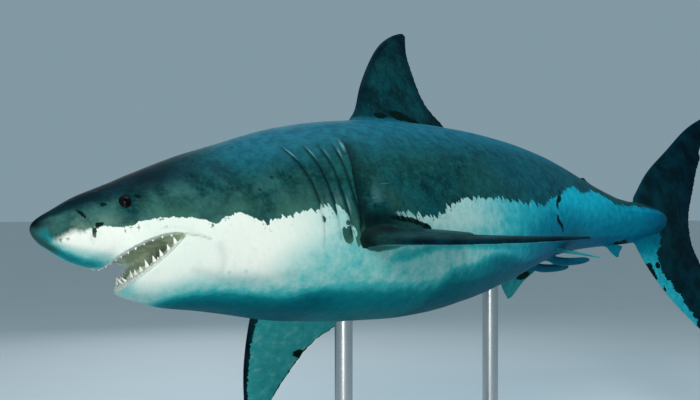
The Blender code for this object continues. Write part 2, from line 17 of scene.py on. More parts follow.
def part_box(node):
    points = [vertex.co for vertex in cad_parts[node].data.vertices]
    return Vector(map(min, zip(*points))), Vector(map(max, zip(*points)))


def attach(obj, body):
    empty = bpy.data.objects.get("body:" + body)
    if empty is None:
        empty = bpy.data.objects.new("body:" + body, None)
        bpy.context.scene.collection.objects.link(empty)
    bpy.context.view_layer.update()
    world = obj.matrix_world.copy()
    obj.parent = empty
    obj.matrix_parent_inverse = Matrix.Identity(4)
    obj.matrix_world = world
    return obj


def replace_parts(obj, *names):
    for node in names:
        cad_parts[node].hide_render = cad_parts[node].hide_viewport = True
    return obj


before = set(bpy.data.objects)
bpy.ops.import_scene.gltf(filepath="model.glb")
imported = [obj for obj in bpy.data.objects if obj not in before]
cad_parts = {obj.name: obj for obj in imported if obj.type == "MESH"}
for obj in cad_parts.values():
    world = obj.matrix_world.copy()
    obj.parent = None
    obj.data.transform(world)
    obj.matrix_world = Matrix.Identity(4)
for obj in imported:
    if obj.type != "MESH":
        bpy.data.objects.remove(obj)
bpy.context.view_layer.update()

# ---------------------------------------------------------------- sizes shared with the solids
LENGTH = 4.2
BANK = 18.5
SNOUT_HEIGHT = 1.16
BASE_X, BASE_Y = 0.393, 0.0125

SPINE_AT = [0.1, 0.25, 0.4, 0.55, 0.7, 0.82, 0.95, 1.1]
SPINE_HEADING = [0.0, -0.6, -5.5, -8.4, -6.0, 3.4, 7.8, 10.0]

# Body sections: station, top, bottom, half width, level of the widest line, fullness above / below
BODY = [
    (0.000, -0.0015, -0.0015, 0.0000, -0.0015, 2.00, 2.00),
    (0.006, 0.0062, -0.0116, 0.0105, -0.0025, 2.00, 2.00),
    (0.020, 0.0136, -0.0217, 0.0184, -0.0040, 2.00, 2.10),
    (0.040, 0.0233, -0.0304, 0.0263, -0.0050, 2.00, 2.15),
    (0.050, 0.0269, -0.0322, 0.0303, -0.0057, 2.00, 2.15),
    (0.055, 0.0287, -0.0336, 0.0322, -0.0062, 2.00, 2.15),
    (0.062, 0.0312, -0.0425, 0.0346, -0.0070, 2.00, 2.10),
    (0.069, 0.0336, -0.0540, 0.0370, -0.0075, 2.00, 2.00),
    (0.080, 0.0378, -0.0600, 0.0405, -0.0080, 2.00, 1.95),
    (0.100, 0.0451, -0.0658, 0.0466, -0.0090, 2.00, 1.95),
    (0.130, 0.0553, -0.0695, 0.0544, -0.0100, 2.05, 2.05),
    (0.170, 0.0664, -0.0750, 0.0633, -0.0100, 2.10, 2.15),
    (0.220, 0.0799, -0.0824, 0.0724, -0.0100, 2.10, 2.25),
    (0.280, 0.0898, -0.0868, 0.0794, -0.0090, 2.10, 2.30),
    (0.340, 0.0950, -0.0883, 0.0833, -0.0070, 2.05, 2.30),
    (0.400, 0.0971, -0.0855, 0.0828, -0.0040, 2.00, 2.30),
    (0.460, 0.0962, -0.0755, 0.0788, 0.0000, 2.00, 2.20),
    (0.520, 0.0933, -0.0615, 0.0723, 0.0040, 2.00, 2.10),
    (0.580, 0.0873, -0.0450, 0.0637, 0.0090, 2.00, 2.00),
    (0.640, 0.0768, -0.0307, 0.0533, 0.0125, 2.00, 1.90),
    (0.700, 0.0625, -0.0222, 0.0426, 0.0145, 1.85, 1.75),
    (0.750, 0.0488, -0.0190, 0.0350, 0.0140, 1.65, 1.55),
    (0.790, 0.0385, -0.0175, 0.0305, 0.0125, 1.45, 1.40),
    (0.825, 0.0335, -0.0152, 0.0280, 0.0110, 1.35, 1.35),
    (0.850, 0.0283, -0.0108, 0.0215, 0.0098, 1.35, 1.35),
    (0.872, 0.0210, -0.0005, 0.0070, 0.0095, 1.60, 1.60),
]
BODY_END = 0.872

MOUTH = [(0.1035, -0.022), (0.096, -0.0197), (0.086, -0.02), (0.077, -0.022), (0.07, -0.0242),
         (0.0645, -0.0262), (0.06, -0.0284), (0.056, -0.0304), (0.0532, -0.0345), (0.0515, -0.044),
         (0.0515, -0.09), (0.06, -0.056), (0.0667, -0.0512), (0.0705, -0.0488), (0.076, -0.0448),
         (0.089, -0.0352)]
LIP_UPPER = (0.0552, MOUTH[8::-1])    # station of the front of the lip, and its side view
LIP_LOWER = (0.0685, MOUTH[12:] + MOUTH[:1])
PALATE = ((0.086, 0.0, -0.0245), (0.023, 0.026, 0.01))
GULLET = ((0.093, 0.0, -0.0425), (0.021, 0.024, 0.012))
EYE_AT, EYE_LEVEL, EYE_RADIUS, EYE_DEPTH = 0.0638, 0.0071, 0.0058, 0.004
EYE_TALL = 1.18
NOSTRIL_AT, NOSTRIL_LEVEL = 0.037, -0.012

GILLS = [
    [(0.203, 0.05), (0.2105, 0.03), (0.2155, 0.008), (0.217, -0.014), (0.216, -0.042)],
    [(0.2225, 0.05), (0.227, 0.03), (0.2295, 0.006), (0.231, -0.016), (0.2315, -0.038)],
    [(0.237, 0.05), (0.2395, 0.03), (0.2402, 0.006), (0.2415, -0.016), (0.2425, -0.036)],
    [(0.252, 0.05), (0.2512, 0.03), (0.2502, 0.006), (0.2512, -0.016), (0.2525, -0.034)],
    [(0.266, 0.055), (0.26, 0.032), (0.2545, 0.006), (0.253, -0.018), (0.2535, -0.032)],
]

# Fins, root to tip: leading edge (back, out), trailing edge (back, out), half thickness
DORSAL = [
    (0.3260, 0.0700, 0.4660, 0.0700, 0.0085),
    (0.3340, 0.0935, 0.4690, 0.0960, 0.0072),
    (0.3500, 0.1095, 0.4845, 0.1040, 0.0056),
    (0.3625, 0.1305, 0.4680, 0.1195, 0.0046),
    (0.3790, 0.1542, 0.4560, 0.1400, 0.0038),
    (0.3990, 0.1768, 0.4518, 0.1620, 0.0030),
    (0.4175, 0.1914, 0.4500, 0.1800, 0.0022),
    (0.4360, 0.2006, 0.4530, 0.1945, 0.0014),
    (0.4500, 0.2048, 0.4555, 0.2025, 0.0008),
]
DORSAL_SMALL = [
    (0.7200, 0.0400, 0.7420, 0.0400, 0.0022),
    (0.7240, 0.0550, 0.7440, 0.0492, 0.0017),
    (0.7300, 0.0602, 0.7600, 0.0520, 0.0011),
    (0.7365, 0.0640, 0.7500, 0.0592, 0.0008),
    (0.7410, 0.0650, 0.7450, 0.0640, 0.0005),
]
ANAL = [
    (0.7440, 0.0000, 0.7700, 0.0000, 0.0022),
    (0.7480, -0.0180, 0.7720, -0.0170, 0.0017),
    (0.7530, -0.0235, 0.7830, -0.0200, 0.0011),
    (0.7610, -0.0300, 0.7750, -0.0275, 0.0008),
    (0.7670, -0.0335, 0.7710, -0.0327, 0.0005),
]
TAIL_UPPER = [
    (0.8020, 0.0082, 0.9204, 0.0082, 0.0090),
    (0.8180, 0.0240, 0.9280, 0.0225, 0.0080),
    (0.8290, 0.0385, 0.9400, 0.0398, 0.0066),
    (0.8420, 0.0505, 0.9530, 0.0590, 0.0055),
    (0.8610, 0.0668, 0.9660, 0.0770, 0.0046),
    (0.8860, 0.0835, 0.9765, 0.0900, 0.0038),
    (0.9170, 0.1013, 0.9785, 0.0990, 0.0030),
    (0.9520, 0.1225, 0.9990, 0.1200, 0.0022),
    (0.9780, 0.1352, 1.0060, 0.1340, 0.0014),
    (0.9990, 0.1430, 1.0090, 0.1440, 0.0008),
]
TAIL_LOWER = [
    (0.8020, 0.0080, 0.9204, 0.0080, 0.0090),
    (0.8040, -0.0060, 0.9155, -0.0070, 0.0080),
    (0.8110, -0.0225, 0.9130, -0.0260, 0.0066),
    (0.8200, -0.0456, 0.9165, -0.0440, 0.0055),
    (0.8338, -0.0702, 0.9220, -0.0680, 0.0045),
    (0.8484, -0.0912, 0.9255, -0.0900, 0.0036),
    (0.8648, -0.1101, 0.9270, -0.1110, 0.0028),
    (0.8830, -0.1295, 0.9260, -0.1300, 0.0020),
    (0.9000, -0.1440, 0.9215, -0.1450, 0.0013),
    (0.9110, -0.1510, 0.9160, -0.1520, 0.0008),
]
PECTORAL = [
    (-0.004, -0.030, 0.068, -0.030, 0.0090),
    (0.000, 0.000, 0.0710, 0.000, 0.0078),
    (0.0060, 0.0180, 0.1100, 0.0070, 0.0062),
    (0.0140, 0.0390, 0.0990, 0.0340, 0.0053),
    (0.0355, 0.0840, 0.0915, 0.0700, 0.0044),
    (0.0600, 0.1230, 0.0900, 0.1070, 0.0034),
    (0.0805, 0.1510, 0.0940, 0.1390, 0.0024),
    (0.0940, 0.1665, 0.1000, 0.1605, 0.0015),
    (0.1015, 0.1740, 0.1040, 0.1725, 0.0008),
]
PELVIC = [
    (0.000, -0.020, 0.046, -0.020, 0.0032),
    (0.000, 0.000, 0.0500, 0.000, 0.0027),
    (0.0080, 0.0120, 0.0740, 0.0060, 0.0019),
    (0.0180, 0.0240, 0.0600, 0.0180, 0.0014),
    (0.0280, 0.0340, 0.0500, 0.0290, 0.0010),
    (0.0360, 0.0410, 0.0420, 0.0390, 0.0006),
]
# Paired fins: station and level of the front of the root, droop, pitch, sweep (degrees), curl, size
PECTORAL_LEFT = (0.25, -0.037, 20.2, -3.5, -9.9, -0.19, 0.949)
PECTORAL_RIGHT = (0.25, -0.037, 37.5, 11.6, -11.3, 0.33, 1.0)
PELVIC_LEFT = (0.574, -0.035, 26.0, 4.0, 6.0, 0.0, 0.95)
PELVIC_RIGHT = (0.574, -0.035, 52.0, 4.0, 6.0, 0.0, 0.95)
CLASPER = [
    (0.592, 0.012, -0.033, 0.004), (0.612, 0.0125, -0.0395, 0.0046), (0.632, 0.013, -0.0415, 0.0046),
    (0.654, 0.0135, -0.041, 0.0043), (0.672, 0.014, -0.04, 0.0036), (0.683, 0.0142, -0.0395, 0.0018),
]

ROD_RADIUS, COLLAR_RADIUS, COLLAR_HEIGHT = 0.034, 0.08, 0.03
BASE_LENGTH, BASE_WIDTH, BASE_THICK, BASE_CORNER = 2.1, 0.86, 0.04, 0.1

FLESH_NODES = [
    "head", "lower_jaw", "gill_region", "trunk", "tail_stock", "first_dorsal_fin", "second_dorsal_fin",
    "anal_fin", "caudal_fin_upper_lobe", "caudal_fin_lower_lobe", "pectoral_fin_left", "pectoral_fin_right",
    "pelvic_fin_left", "pelvic_fin_right", "clasper_left", "clasper_right"]


# ---------------------------------------------------------------- body surface
def spline(x, xs, ys):
    """Natural cubic through the points (xs, ys)."""
    x, xs, ys = (np.asarray(v, float) for v in (x, xs, ys))
    n, h = len(xs), np.diff(xs)
    system, right = np.eye(n), np.zeros(n)
    for i in range(1, n - 1):
        system[i, i - 1:i + 2] = h[i - 1], 2 * (h[i - 1] + h[i]), h[i]
        right[i] = 3 * ((ys[i + 1] - ys[i]) / h[i] - (ys[i] - ys[i - 1]) / h[i - 1])
    c = np.linalg.solve(system, right)
    b = np.diff(ys) / h - h * (2 * c[:-1] + c[1:]) / 3
    d = np.diff(c) / (3 * h)
    i = np.clip(np.searchsorted(xs, x) - 1, 0, n - 2)
    t = x - xs[i]
    return ys[i] + t * (b[i] + t * (c[i] + t * d[i]))


BODY_TABLE = np.array(BODY)
BODY_KNOTS = np.sqrt(BODY_TABLE[:, 0])


def section(station):
    """Top, bottom, half width, widest level and fullness of the body at a station."""
    q = np.sqrt(np.clip(station, 0.0, BODY_END))
    return [spline(q, BODY_KNOTS, BODY_TABLE[:, k]) for k in range(1, 7)]


def body_point(station, angle):
    """Point of the body's surface; angle 0 is the back, pi/2 the left side, pi the belly."""
    top, bottom, width, level, above, below = section(station)
    c, s = np.cos(angle), np.sin(angle)
    fullness = np.where(c >= 0, above, below)
    y = -width * np.sign(s) * np.abs(s) ** (2 / fullness)
    reach = np.where(c >= 0, top - level, level - bottom)
    z = level + reach * np.sign(c) * np.abs(c) ** (2 / fullness)
    return np.stack([station + 0 * angle, y, z], -1)


def side(station, height):
    """Half width of the body at a level."""
    top, bottom, width, level, above, below = section(np.asarray(station, float))
    upper = np.asarray(height) >= level
    share = np.where(upper, (height - level) / (top - level), (level - height) / (level - bottom))
    fullness = np.where(upper, above, below)
    return width * np.maximum(1 - np.minimum(np.abs(share), 1) ** fullness, 0) ** (1 / fullness)


def heading(station):
    """Heading of the body's axis, degrees."""
    return spline(np.clip(station, SPINE_AT[0], SPINE_AT[-1]), SPINE_AT, SPINE_HEADING)


def spine_track():
    """Axis of the body in plan: station, x, y."""
    station = np.linspace(-0.02, 1.1, 561)
    turn = np.radians(heading(station))
    step = np.diff(station)
    x = np.concatenate([[0], np.cumsum((np.cos(turn[1:]) + np.cos(turn[:-1])) / 2 * step)]) - 0.02
    y = -np.concatenate([[0], np.cumsum((np.sin(turn[1:]) + np.sin(turn[:-1])) / 2 * step)])
    return station, x, y


TRACK = spine_track()


def pose(points):
    """Straight body frame (total lengths) to the model frame (metres)."""
    x, y, z = np.atleast_2d(np.asarray(points, float)).T
    turn = np.radians(heading(x))
    bent_x = np.interp(x, TRACK[0], TRACK[1]) + y * np.sin(turn)
    bent_y = np.interp(x, TRACK[0], TRACK[2]) + y * np.cos(turn)
    roll = math.radians(BANK)
    banked_y = bent_y * math.cos(roll) + z * math.sin(roll)
    banked_z = -bent_y * math.sin(roll) + z * math.cos(roll)
    return np.stack([(bent_x - BASE_X) * LENGTH, (banked_y - BASE_Y) * LENGTH,
                     banked_z * LENGTH + SNOUT_HEIGHT], -1)


# ---------------------------------------------------------------- small helpers
def smoothstep(value):
    """0 below 0, 1 above 1, smooth between."""
    t = np.clip(value, 0.0, 1.0)
    return t * t * (3 - 2 * t)


def rise(value, start, reach):
    """0 up to the start, 1 from a reach further on."""
    return smoothstep((value - start) / reach)


def fall(value, end, reach):
    """1 up to a reach before the end, 0 from the end on."""
    return smoothstep((end - value) / reach)


def bell(value, centre, spread):
    """1 at the centre, falling to 0 on both sides."""
    return np.exp(-((value - centre) / spread) ** 2)


def spread_stations(spans):
    """Stations from (end, spacing) spans, starting at the snout."""
    stations, start = [], 0.0012
    for end, spacing in spans:
        count = max(1, round((end - start) / spacing))
        stations += list(start + (end - start) * np.arange(count) / count)
        start = end
    return np.array(stations + [start])


def segment_distance(x, z, line):
    """Distance in side view from a chain of (station, level) points, and the share along it."""
    best, share = np.full(np.shape(x), 9.0), np.zeros(np.shape(x))
    total = len(line) - 1
    for i in range(total):
        (x0, z0), (x1, z1) = line[i], line[i + 1]
        dx, dz = x1 - x0, z1 - z0
        t = np.clip(((x - x0) * dx + (z - z0) * dz) / (dx * dx + dz * dz), 0, 1)
        away = np.hypot(x - x0 - t * dx, z - z0 - t * dz)
        share = np.where(away < best, (i + t) / total, share)
        best = np.minimum(best, away)
    return best, share


def blob(x, z, centre_x, centre_z, radius_x, radius_z, lean=0.0):
    """Signed distance (positive inside) from a leaning ellipse in side view."""
    u, v = x - centre_x - lean * (z - centre_z), z - centre_z
    return (1 - np.hypot(u / radius_x, v / radius_z)) * min(radius_x, radius_z)


def blobs(spots, x, z):
    """Signed distance (positive inside) from the nearest of several leaning ellipses."""
    return np.max([blob(x, z, *spot) for spot in spots], axis=0)


# ---------------------------------------------------------------- relief of the skin
GILL_KNOT_LEVEL = 0.03
GILLS_FROM, GILLS_TO = 0.188, 0.284     # stations between which the mesh follows the gill slits
FURROWS = [    # side-view line, depth, half width
    ([(0.102, -0.0215), (0.108, -0.0232), (0.115, -0.025), (0.121, -0.028)], 0.0012, 0.001),
    ([(0.084, -0.016), (0.093, -0.0155), (0.101, -0.0172), (0.108, -0.0205)], 0.0002, 0.0016),
    ([(0.0362, -0.0075), (0.0336, -0.0016), (0.03, 0.004)], 0.0009, 0.0009),
    ([(0.0345, -0.011), (0.0352, -0.016), (0.0372, -0.0205)], 0.0006, 0.0008),
    ([(0.11, -0.048), (0.135, -0.056), (0.165, -0.06), (0.195, -0.059)], 0.0004, 0.0034),
    ([(0.128, -0.033), (0.133, -0.043), (0.132, -0.054)], 0.0004, 0.0034),
]
SWELLS = [     # side-view centre, radii, height
    (0.0392, -0.0135, 0.002, 0.0046, 0.0009),
    (0.034, -0.012, 0.0018, 0.0046, 0.0009),
    (0.13, -0.023, 0.018, 0.012, 0.0012),
    (0.098, -0.033, 0.01, 0.008, 0.0008),
    (0.07, 0.0165, 0.014, 0.004, 0.0009),
]


def gill_stations(z):
    """Station of each gill slit at the levels z."""
    places = []
    for line in GILLS:
        stations, levels = np.array(line).T
        order = np.argsort(levels)
        places.append(spline(np.clip(z, levels.min(), levels.max()), levels[order], stations[order]))
    return places


def gill_knots():
    """Stations of the gill slits at one level."""
    return [float(place) for place in gill_stations(np.array(GILL_KNOT_LEVEL))]


def follow_gills(station, z):
    """Moves a station so that whole columns of the skin's mesh run along the gill slits."""
    knots = [GILLS_FROM] + gill_knots() + [GILLS_TO]
    places = gill_stations(z)
    ends = [np.full(np.shape(z), knots[0])] + places + [np.full(np.shape(z), knots[-1])]
    moved = np.array(station, float) + 0 * z
    for k in range(len(knots) - 1):
        inside = (station >= knots[k]) & (station < knots[k + 1])
        share = (station - knots[k]) / (knots[k + 1] - knots[k])
        moved = np.where(inside, ends[k] + share * (ends[k + 1] - ends[k]), moved)
    return moved


def gill_share(x, z):
    """Relief of the gill slits, painted shade in and behind them, and painted highlights on their edges."""
    lift, dark, pale = (np.zeros(np.shape(x)) for _ in range(3))
    for line, place in zip(GILLS, gill_stations(z)):
        levels = np.array(line)[:, 1]
        ends = smoothstep((z - levels.min()) / 0.01 + 0.25) * smoothstep((levels.max() - z) / 0.012 + 0.25)
        past = x - place
        flap = np.where(past < 0, np.exp(past / 0.006), 0.0)
        hollow = np.where(past >= 0, np.exp(-past / 0.0042), 0.0)
        lift += ends * (0.001 * flap - 0.0009 * hollow)
        last = line is GILLS[-1]
        tail, reach = (0.75, 0.0105) if last else (0.15, 0.005)
        # painted shade in each slit, fading behind it, broader behind the last slit
        slit = (1 - tail) * bell(past, -0.0004, 0.0018)
        slit += np.where(past >= -0.0004, tail * bell(past, 0.0, reach), 0.0)
        dark = np.maximum(dark, ends * slit)
        # painted highlights on the slit edges, strongest near their upper ends and lower down
        glint = 0.1 + 0.7 * bell(z, levels.max() - 0.008, 0.007) + 0.6 * bell(z, -0.01, 0.008)
        pale = np.maximum(pale, ends * glint * bell(past, -0.0032 if last else 0.0026, 0.0007))
    return lift, dark, pale


def wave(points, scale, seed):
    """Smooth irregular wave between -1 and 1, made of a few sines."""
    rng = np.random.default_rng(seed)
    total = np.zeros(len(points))
    for _ in range(5):
        direction = rng.normal(size=3)
        direction *= scale / np.linalg.norm(direction) * rng.uniform(0.6, 1.4)
        total += np.sin(points @ direction + rng.uniform(0, 6.28))
    return total / 5


def relief(points):
    """How far the skin stands out from the plain body, by its points."""
    x, y, z = points.T
    lift, _, _ = gill_share(x, z)
    on_side = rise(np.abs(y), 0.004, 0.01)
    for line, depth, width in FURROWS:
        away, _ = segment_distance(x, z, line)
        lift -= depth * bell(away, 0, width) * on_side
    for cx, cz, rx, rz, height in SWELLS:
        lift += height * bell(x, cx, rx) * bell(z, cz, rz) * on_side
    eye = np.hypot(x - EYE_AT, z - EYE_LEVEL)
    lift += on_side * (0.00055 * bell(eye, 0.0068, 0.0011) - 0.0004 * bell(eye, 0.01, 0.0018))
    lift -= 0.0016 * bell(x, 0.806, 0.0045) * rise(z, 0.028, 0.006)
    lift -= 0.001 * bell(x, 0.812, 0.004) * fall(z, -0.01, 0.004)
    lift += 0.0003 * wave(points, 130, 3) * rise(x, 0.1, 0.1)
    lift += 0.00016 * wave(points, 330, 4) * rise(x, 0.02, 0.06) * fall(x, 0.86, 0.06)
    return lift


# ---------------------------------------------------------------- mesh building
def new_object(name, points, faces):
    """A mesh object in the scene."""
    mesh = bpy.data.meshes.new(name)
    mesh.from_pydata([tuple(p) for p in points], [], faces)
    mesh.update()
    made = bpy.data.objects.new(name, mesh)
    bpy.context.scene.collection.objects.link(made)
    return made


def loft(rings, front=None, back=None):
    """Points and faces of a closed body through rings of equal count."""
    count = len(rings[0])
    points = np.concatenate(rings)
    faces = []
    for i in range(len(rings) - 1):
        a, b = i * count, (i + 1) * count
        faces += [(a + j, a + (j + 1) % count, b + (j + 1) % count, b + j) for j in range(count)]
    front = rings[0].mean(0) if front is None else np.array(front)
    back = rings[-1].mean(0) if back is None else np.array(back)
    last = (len(rings) - 1) * count
    first_id, back_id = len(points), len(points) + 1
    faces += [(first_id, (j + 1) % count, j) for j in range(count)]
    faces += [(back_id, last + j, last + (j + 1) % count) for j in range(count)]
    return np.vstack([points, front, back]), faces


def tidy_faces(thing):
    """Outward faces, all triangles."""
    work = bmesh.new()
    work.from_mesh(thing.data)
    bmesh.ops.recalc_face_normals(work, faces=work.faces)
    bmesh.ops.triangulate(work, faces=work.faces)
    work.to_mesh(thing.data)
    work.free()
    return thing


def read(items, key, width=1, kind=float):
    """Values of all items of a mesh, in rows of the width."""
    values = np.empty(len(items) * width, kind)
    items.foreach_get(key, values)
    return values.reshape(-1, width) if width > 1 else values


def store(piece, name, values):
    """Keeps a number or a vector for each point of a piece, for its material."""
    vector = np.ndim(values) == 2
    layer = piece.data.attributes.new(name, "FLOAT_VECTOR" if vector else "FLOAT", "POINT")
    layer.data.foreach_set("vector" if vector else "value", np.asarray(values, np.float32).ravel())


def merged(parts):
    """Several (points, faces) as one."""
    points, faces, offset = [], [], 0
    for part_points, part_faces in parts:
        points.append(part_points)
        faces += [tuple(i + offset for i in face) for face in part_faces]
        offset += len(part_points)
    return np.vstack(points), faces


def around_angles(count):
    """Angles round the body, closer together at the level of the eye, mouth and gills."""
    fine = np.linspace(0, 2 * math.pi, 2001)
    density = 1 + 0.9 * bell(fine, 1.75, 0.55) + 0.9 * bell(fine, 2 * math.pi - 1.75, 0.55)
    total = np.concatenate([[0], np.cumsum((density[1:] + density[:-1]) / 2)])
    return np.interp(np.arange(count) / count * total[-1], total, fine)


AROUND = 176            # points round the body
GILL_EDGE = 0.00035     # half width of the extra columns at a gill slit


def body_mesh():
    """The trunk from snout to tail stock with its relief."""
    stations = spread_stations([
        (0.02, 0.0014), (0.048, 0.0016), (0.112, 0.0013), (0.165, 0.0019), (GILLS_FROM, 0.0024),
        (GILLS_TO, 0.0014),
        (0.56, 0.005), (0.78, 0.0055), (BODY_END, 0.0032)])
    knots = gill_knots()
    stations = [s for s in stations if min(abs(s - k) for k in knots) > 0.0008]
    for knot in knots:
        stations += [knot - GILL_EDGE, knot + GILL_EDGE, knot + 3 * GILL_EDGE]
    angles = around_angles(AROUND)
    stations = sorted(stations)
    rings = []
    for station in stations:
        plain = body_point(np.full(AROUND, station), angles)
        moved = follow_gills(station, plain[:, 2])
        rings.append(body_point(moved, angles))
    grid = np.array(rings)
    along = np.gradient(grid, axis=0)
    across = (np.roll(grid, -1, 1) - np.roll(grid, 1, 1)) / 2
    outside = np.cross(along, across)
    outside /= np.linalg.norm(outside, axis=2, keepdims=True) + 1e-12
    from_axis = grid - np.array([0.0, 0.0, 1.0]) * np.mean(grid[:, :, 2], axis=1)[:, None, None]
    outward = np.sign(np.sum(outside[:, :, 1:] * from_axis[:, :, 1:]))
    lifts = relief(grid.reshape(-1, 3)).reshape(grid.shape[:2])
    fade = smoothstep(np.array(stations) / 0.01)[:, None]
    grid = grid + outward * outside * (lifts * fade)[:, :, None]
    points, faces = loft(list(grid), front=(0.0, 0.0, BODY[0][1]))
    return tidy_faces(new_object("skin", points, faces))


def airfoil(share):
    """Half thickness of a fin across its chord, 0 at the leading edge."""
    return (2.969 * np.sqrt(share) - 1.26 * share - 3.516 * share ** 2 + 2.843 * share ** 3
            - 1.015 * share ** 4)


def fin_table(rows, at):
    """The columns of a fin's table at fractions of its rows."""
    table = np.array(rows)
    return [spline(at, np.arange(len(rows)), table[:, k]) for k in range(5)]


EDGE_HALF = 0.00024      # half thickness of a fin's edge


def fin_mesh(rows, spans, chords, place, ragged=0.0, root_flare=1.0, flare_rows=0.0):
    """A fin as (points, faces) from its rows of outline."""
    at = np.linspace(0, len(rows) - 1, spans)
    front_c, front_h, back_c, back_h, half = fin_table(rows, at)
    chord = (1 - np.cos(np.linspace(0, math.pi, chords))) / 2
    rings = []
    for i, (fc, fh, bc, bh, t) in enumerate(zip(front_c, front_h, back_c, back_h, half)):
        notch = ragged * (math.sin(i * 2.39) + 0.6 * math.sin(i * 5.1 + 1.0)) * smoothstep(at[i] / 1.5 - 1.0)
        bc = bc - notch * (bc - fc)
        t = t * (1 + (root_flare - 1) * (1 - smoothstep(at[i] / max(flare_rows, 1e-6))))
        c, h = fc + (bc - fc) * chord, fh + (bh - fh) * chord
        lift = np.maximum(t * airfoil(chord), EDGE_HALF)
        lift[0] = 0.0
        upper = np.stack([c, h, lift], -1)
        lower = np.stack([c, h, -lift], -1)[:0:-1]
        rings.append(place(np.vstack([upper, lower])))
    return loft(rings)


def upright(points):
    """Middle fins: back, out and lift become x, z and y."""
    return points[:, [0, 2, 1]]


def swept(c, h, turn):
    """Back and out of points of a fin's plan after a turn in that plan."""
    return c * math.cos(turn) + h * math.sin(turn), h * math.cos(turn) - c * math.sin(turn)


class Paired:
    """Placement of a paired fin, and its inverse for the markings."""

    def __init__(self, spec, mirror):
        self.station, self.height, droop, pitch, sweep, self.curl, self.size = spec
        droop, self.pitch, self.sweep = (math.radians(v) for v in (droop, pitch, sweep))
        self.mirror = mirror
        self.root = np.array([self.station, float(side(self.station, self.height)) - 0.004, self.height])
        self.span = np.array([0, math.cos(droop), -math.sin(droop)])
        self.up = np.array([0, math.sin(droop), math.cos(droop)])
        self.back = np.array([math.cos(self.pitch), 0, 0]) - math.sin(self.pitch) * self.up

    def __call__(self, points):
        c, h, lift = (points * self.size).T
        c, h = swept(c, h, self.sweep)
        out = (self.root + c[:, None] * self.back + h[:, None] * self.span
               + (lift - self.curl * h ** 2)[:, None] * self.up)
        out[:, 1] *= self.mirror
        return out

    def local(self, points):
        """Back, out and lift of points of the fin in its own plan."""
        away = points * np.array([1, self.mirror, 1]) - self.root
        c = away[:, 0] / math.cos(self.pitch)
        h = away @ self.span
        lift = away @ self.up + math.sin(self.pitch) * c + self.curl * h ** 2
        c, h = swept(c, h, -self.sweep)
        return c / self.size, h / self.size, lift / self.size


PLACES = {
    "pectoral_left": Paired(PECTORAL_LEFT, -1), "pectoral_right": Paired(PECTORAL_RIGHT, 1),
    "pelvic_left": Paired(PELVIC_LEFT, -1), "pelvic_right": Paired(PELVIC_RIGHT, 1)}
CAUDAL = TAIL_LOWER[:0:-1] + TAIL_UPPER
# Fins: name, outline, sections, points across, raggedness, thickening of the root and its reach in rows
FINS = [
    ("dorsal", DORSAL, 76, 26, 0.006, 1.0, 0.0),
    ("dorsal_small", DORSAL_SMALL, 20, 12, 0.0, 1.0, 0.0),
    ("anal", ANAL, 20, 12, 0.0, 1.0, 0.0),
    ("pectoral_left", PECTORAL, 84, 26, 0.008, 1.5, 3.2),
    ("pectoral_right", PECTORAL, 84, 26, 0.008, 1.3, 2.4),
    ("pelvic_left", PELVIC, 34, 16, 0.0, 1.0, 0.0),
    ("pelvic_right", PELVIC, 34, 16, 0.0, 1.0, 0.0)]


def circle(count):
    """Angles of even steps round a circle."""
    return np.arange(count) * 2 * math.pi / count


def clasper_mesh(mirror):
    """A clasper: a tapered rod with a fold along it."""
    index, columns, b = np.arange(len(CLASPER)), np.array(CLASPER).T, circle(20)
    rings = []
    for t in np.linspace(0, len(CLASPER) - 1, 34):
        x, y, z, r = (float(spline(t, index, column)) for column in columns)
        fold = 1 - 0.22 * bell(b, 1.4, 0.35) * rise(t, 1, 2)
        rings.append(np.stack([x + 0 * b, mirror * (y + r * fold * np.cos(b)), z + r * fold * np.sin(b)], -1))
    end = rings[-1].mean(0) + np.array([0.0022, 0.0, 0.0004])
    return loft(rings, back=end)


# ---------------------------------------------------------------- mouth
def even_steps(line, count):
    """The line as a count of points at even steps along it."""
    length = np.concatenate([[0], np.cumsum(np.hypot(*np.diff(line, axis=0).T))])
    t = np.linspace(0, length[-1], count)
    return np.stack([np.interp(t, length, column) for column in line.T], -1)


def smoothed(line, rounds):
    """The line with its inner points moved toward their neighbours."""
    for _ in range(rounds):
        line[1:-1] = (line[:-2] + 2 * line[1:-1] + line[2:]) / 4
    return line


def lip_curve(count):
    """Side view of the opening from the lower lip's front, round the corner, to the upper lip's front."""
    return smoothed(even_steps(np.array(MOUTH[12:] + MOUTH[:9]), count), 3)


def mouth_cutter():
    """Wedge between the lips."""
    x, z = np.vstack([lip_curve(60), MOUTH[9:12]]).T
    return loft([np.stack([x, y + 0 * x, z], -1) for y in np.linspace(-0.06, 0.06, 41)])


def ellipsoid_mesh(centre, radii, rings=28, around=44):
    """An ellipsoid as (points, faces), with its poles ahead and behind."""
    loops, b = [], circle(around)
    for i in range(1, rings):
        a = math.pi * i / rings
        loops.append(np.stack([centre[0] - radii[0] * math.cos(a) + 0 * b,
                               centre[1] + radii[1] * math.sin(a) * np.cos(b),
                               centre[2] + radii[2] * math.sin(a) * np.sin(b)], -1))
    return loft(loops, front=(centre[0] - radii[0], centre[1], centre[2]),
                back=(centre[0] + radii[0], centre[1], centre[2]))


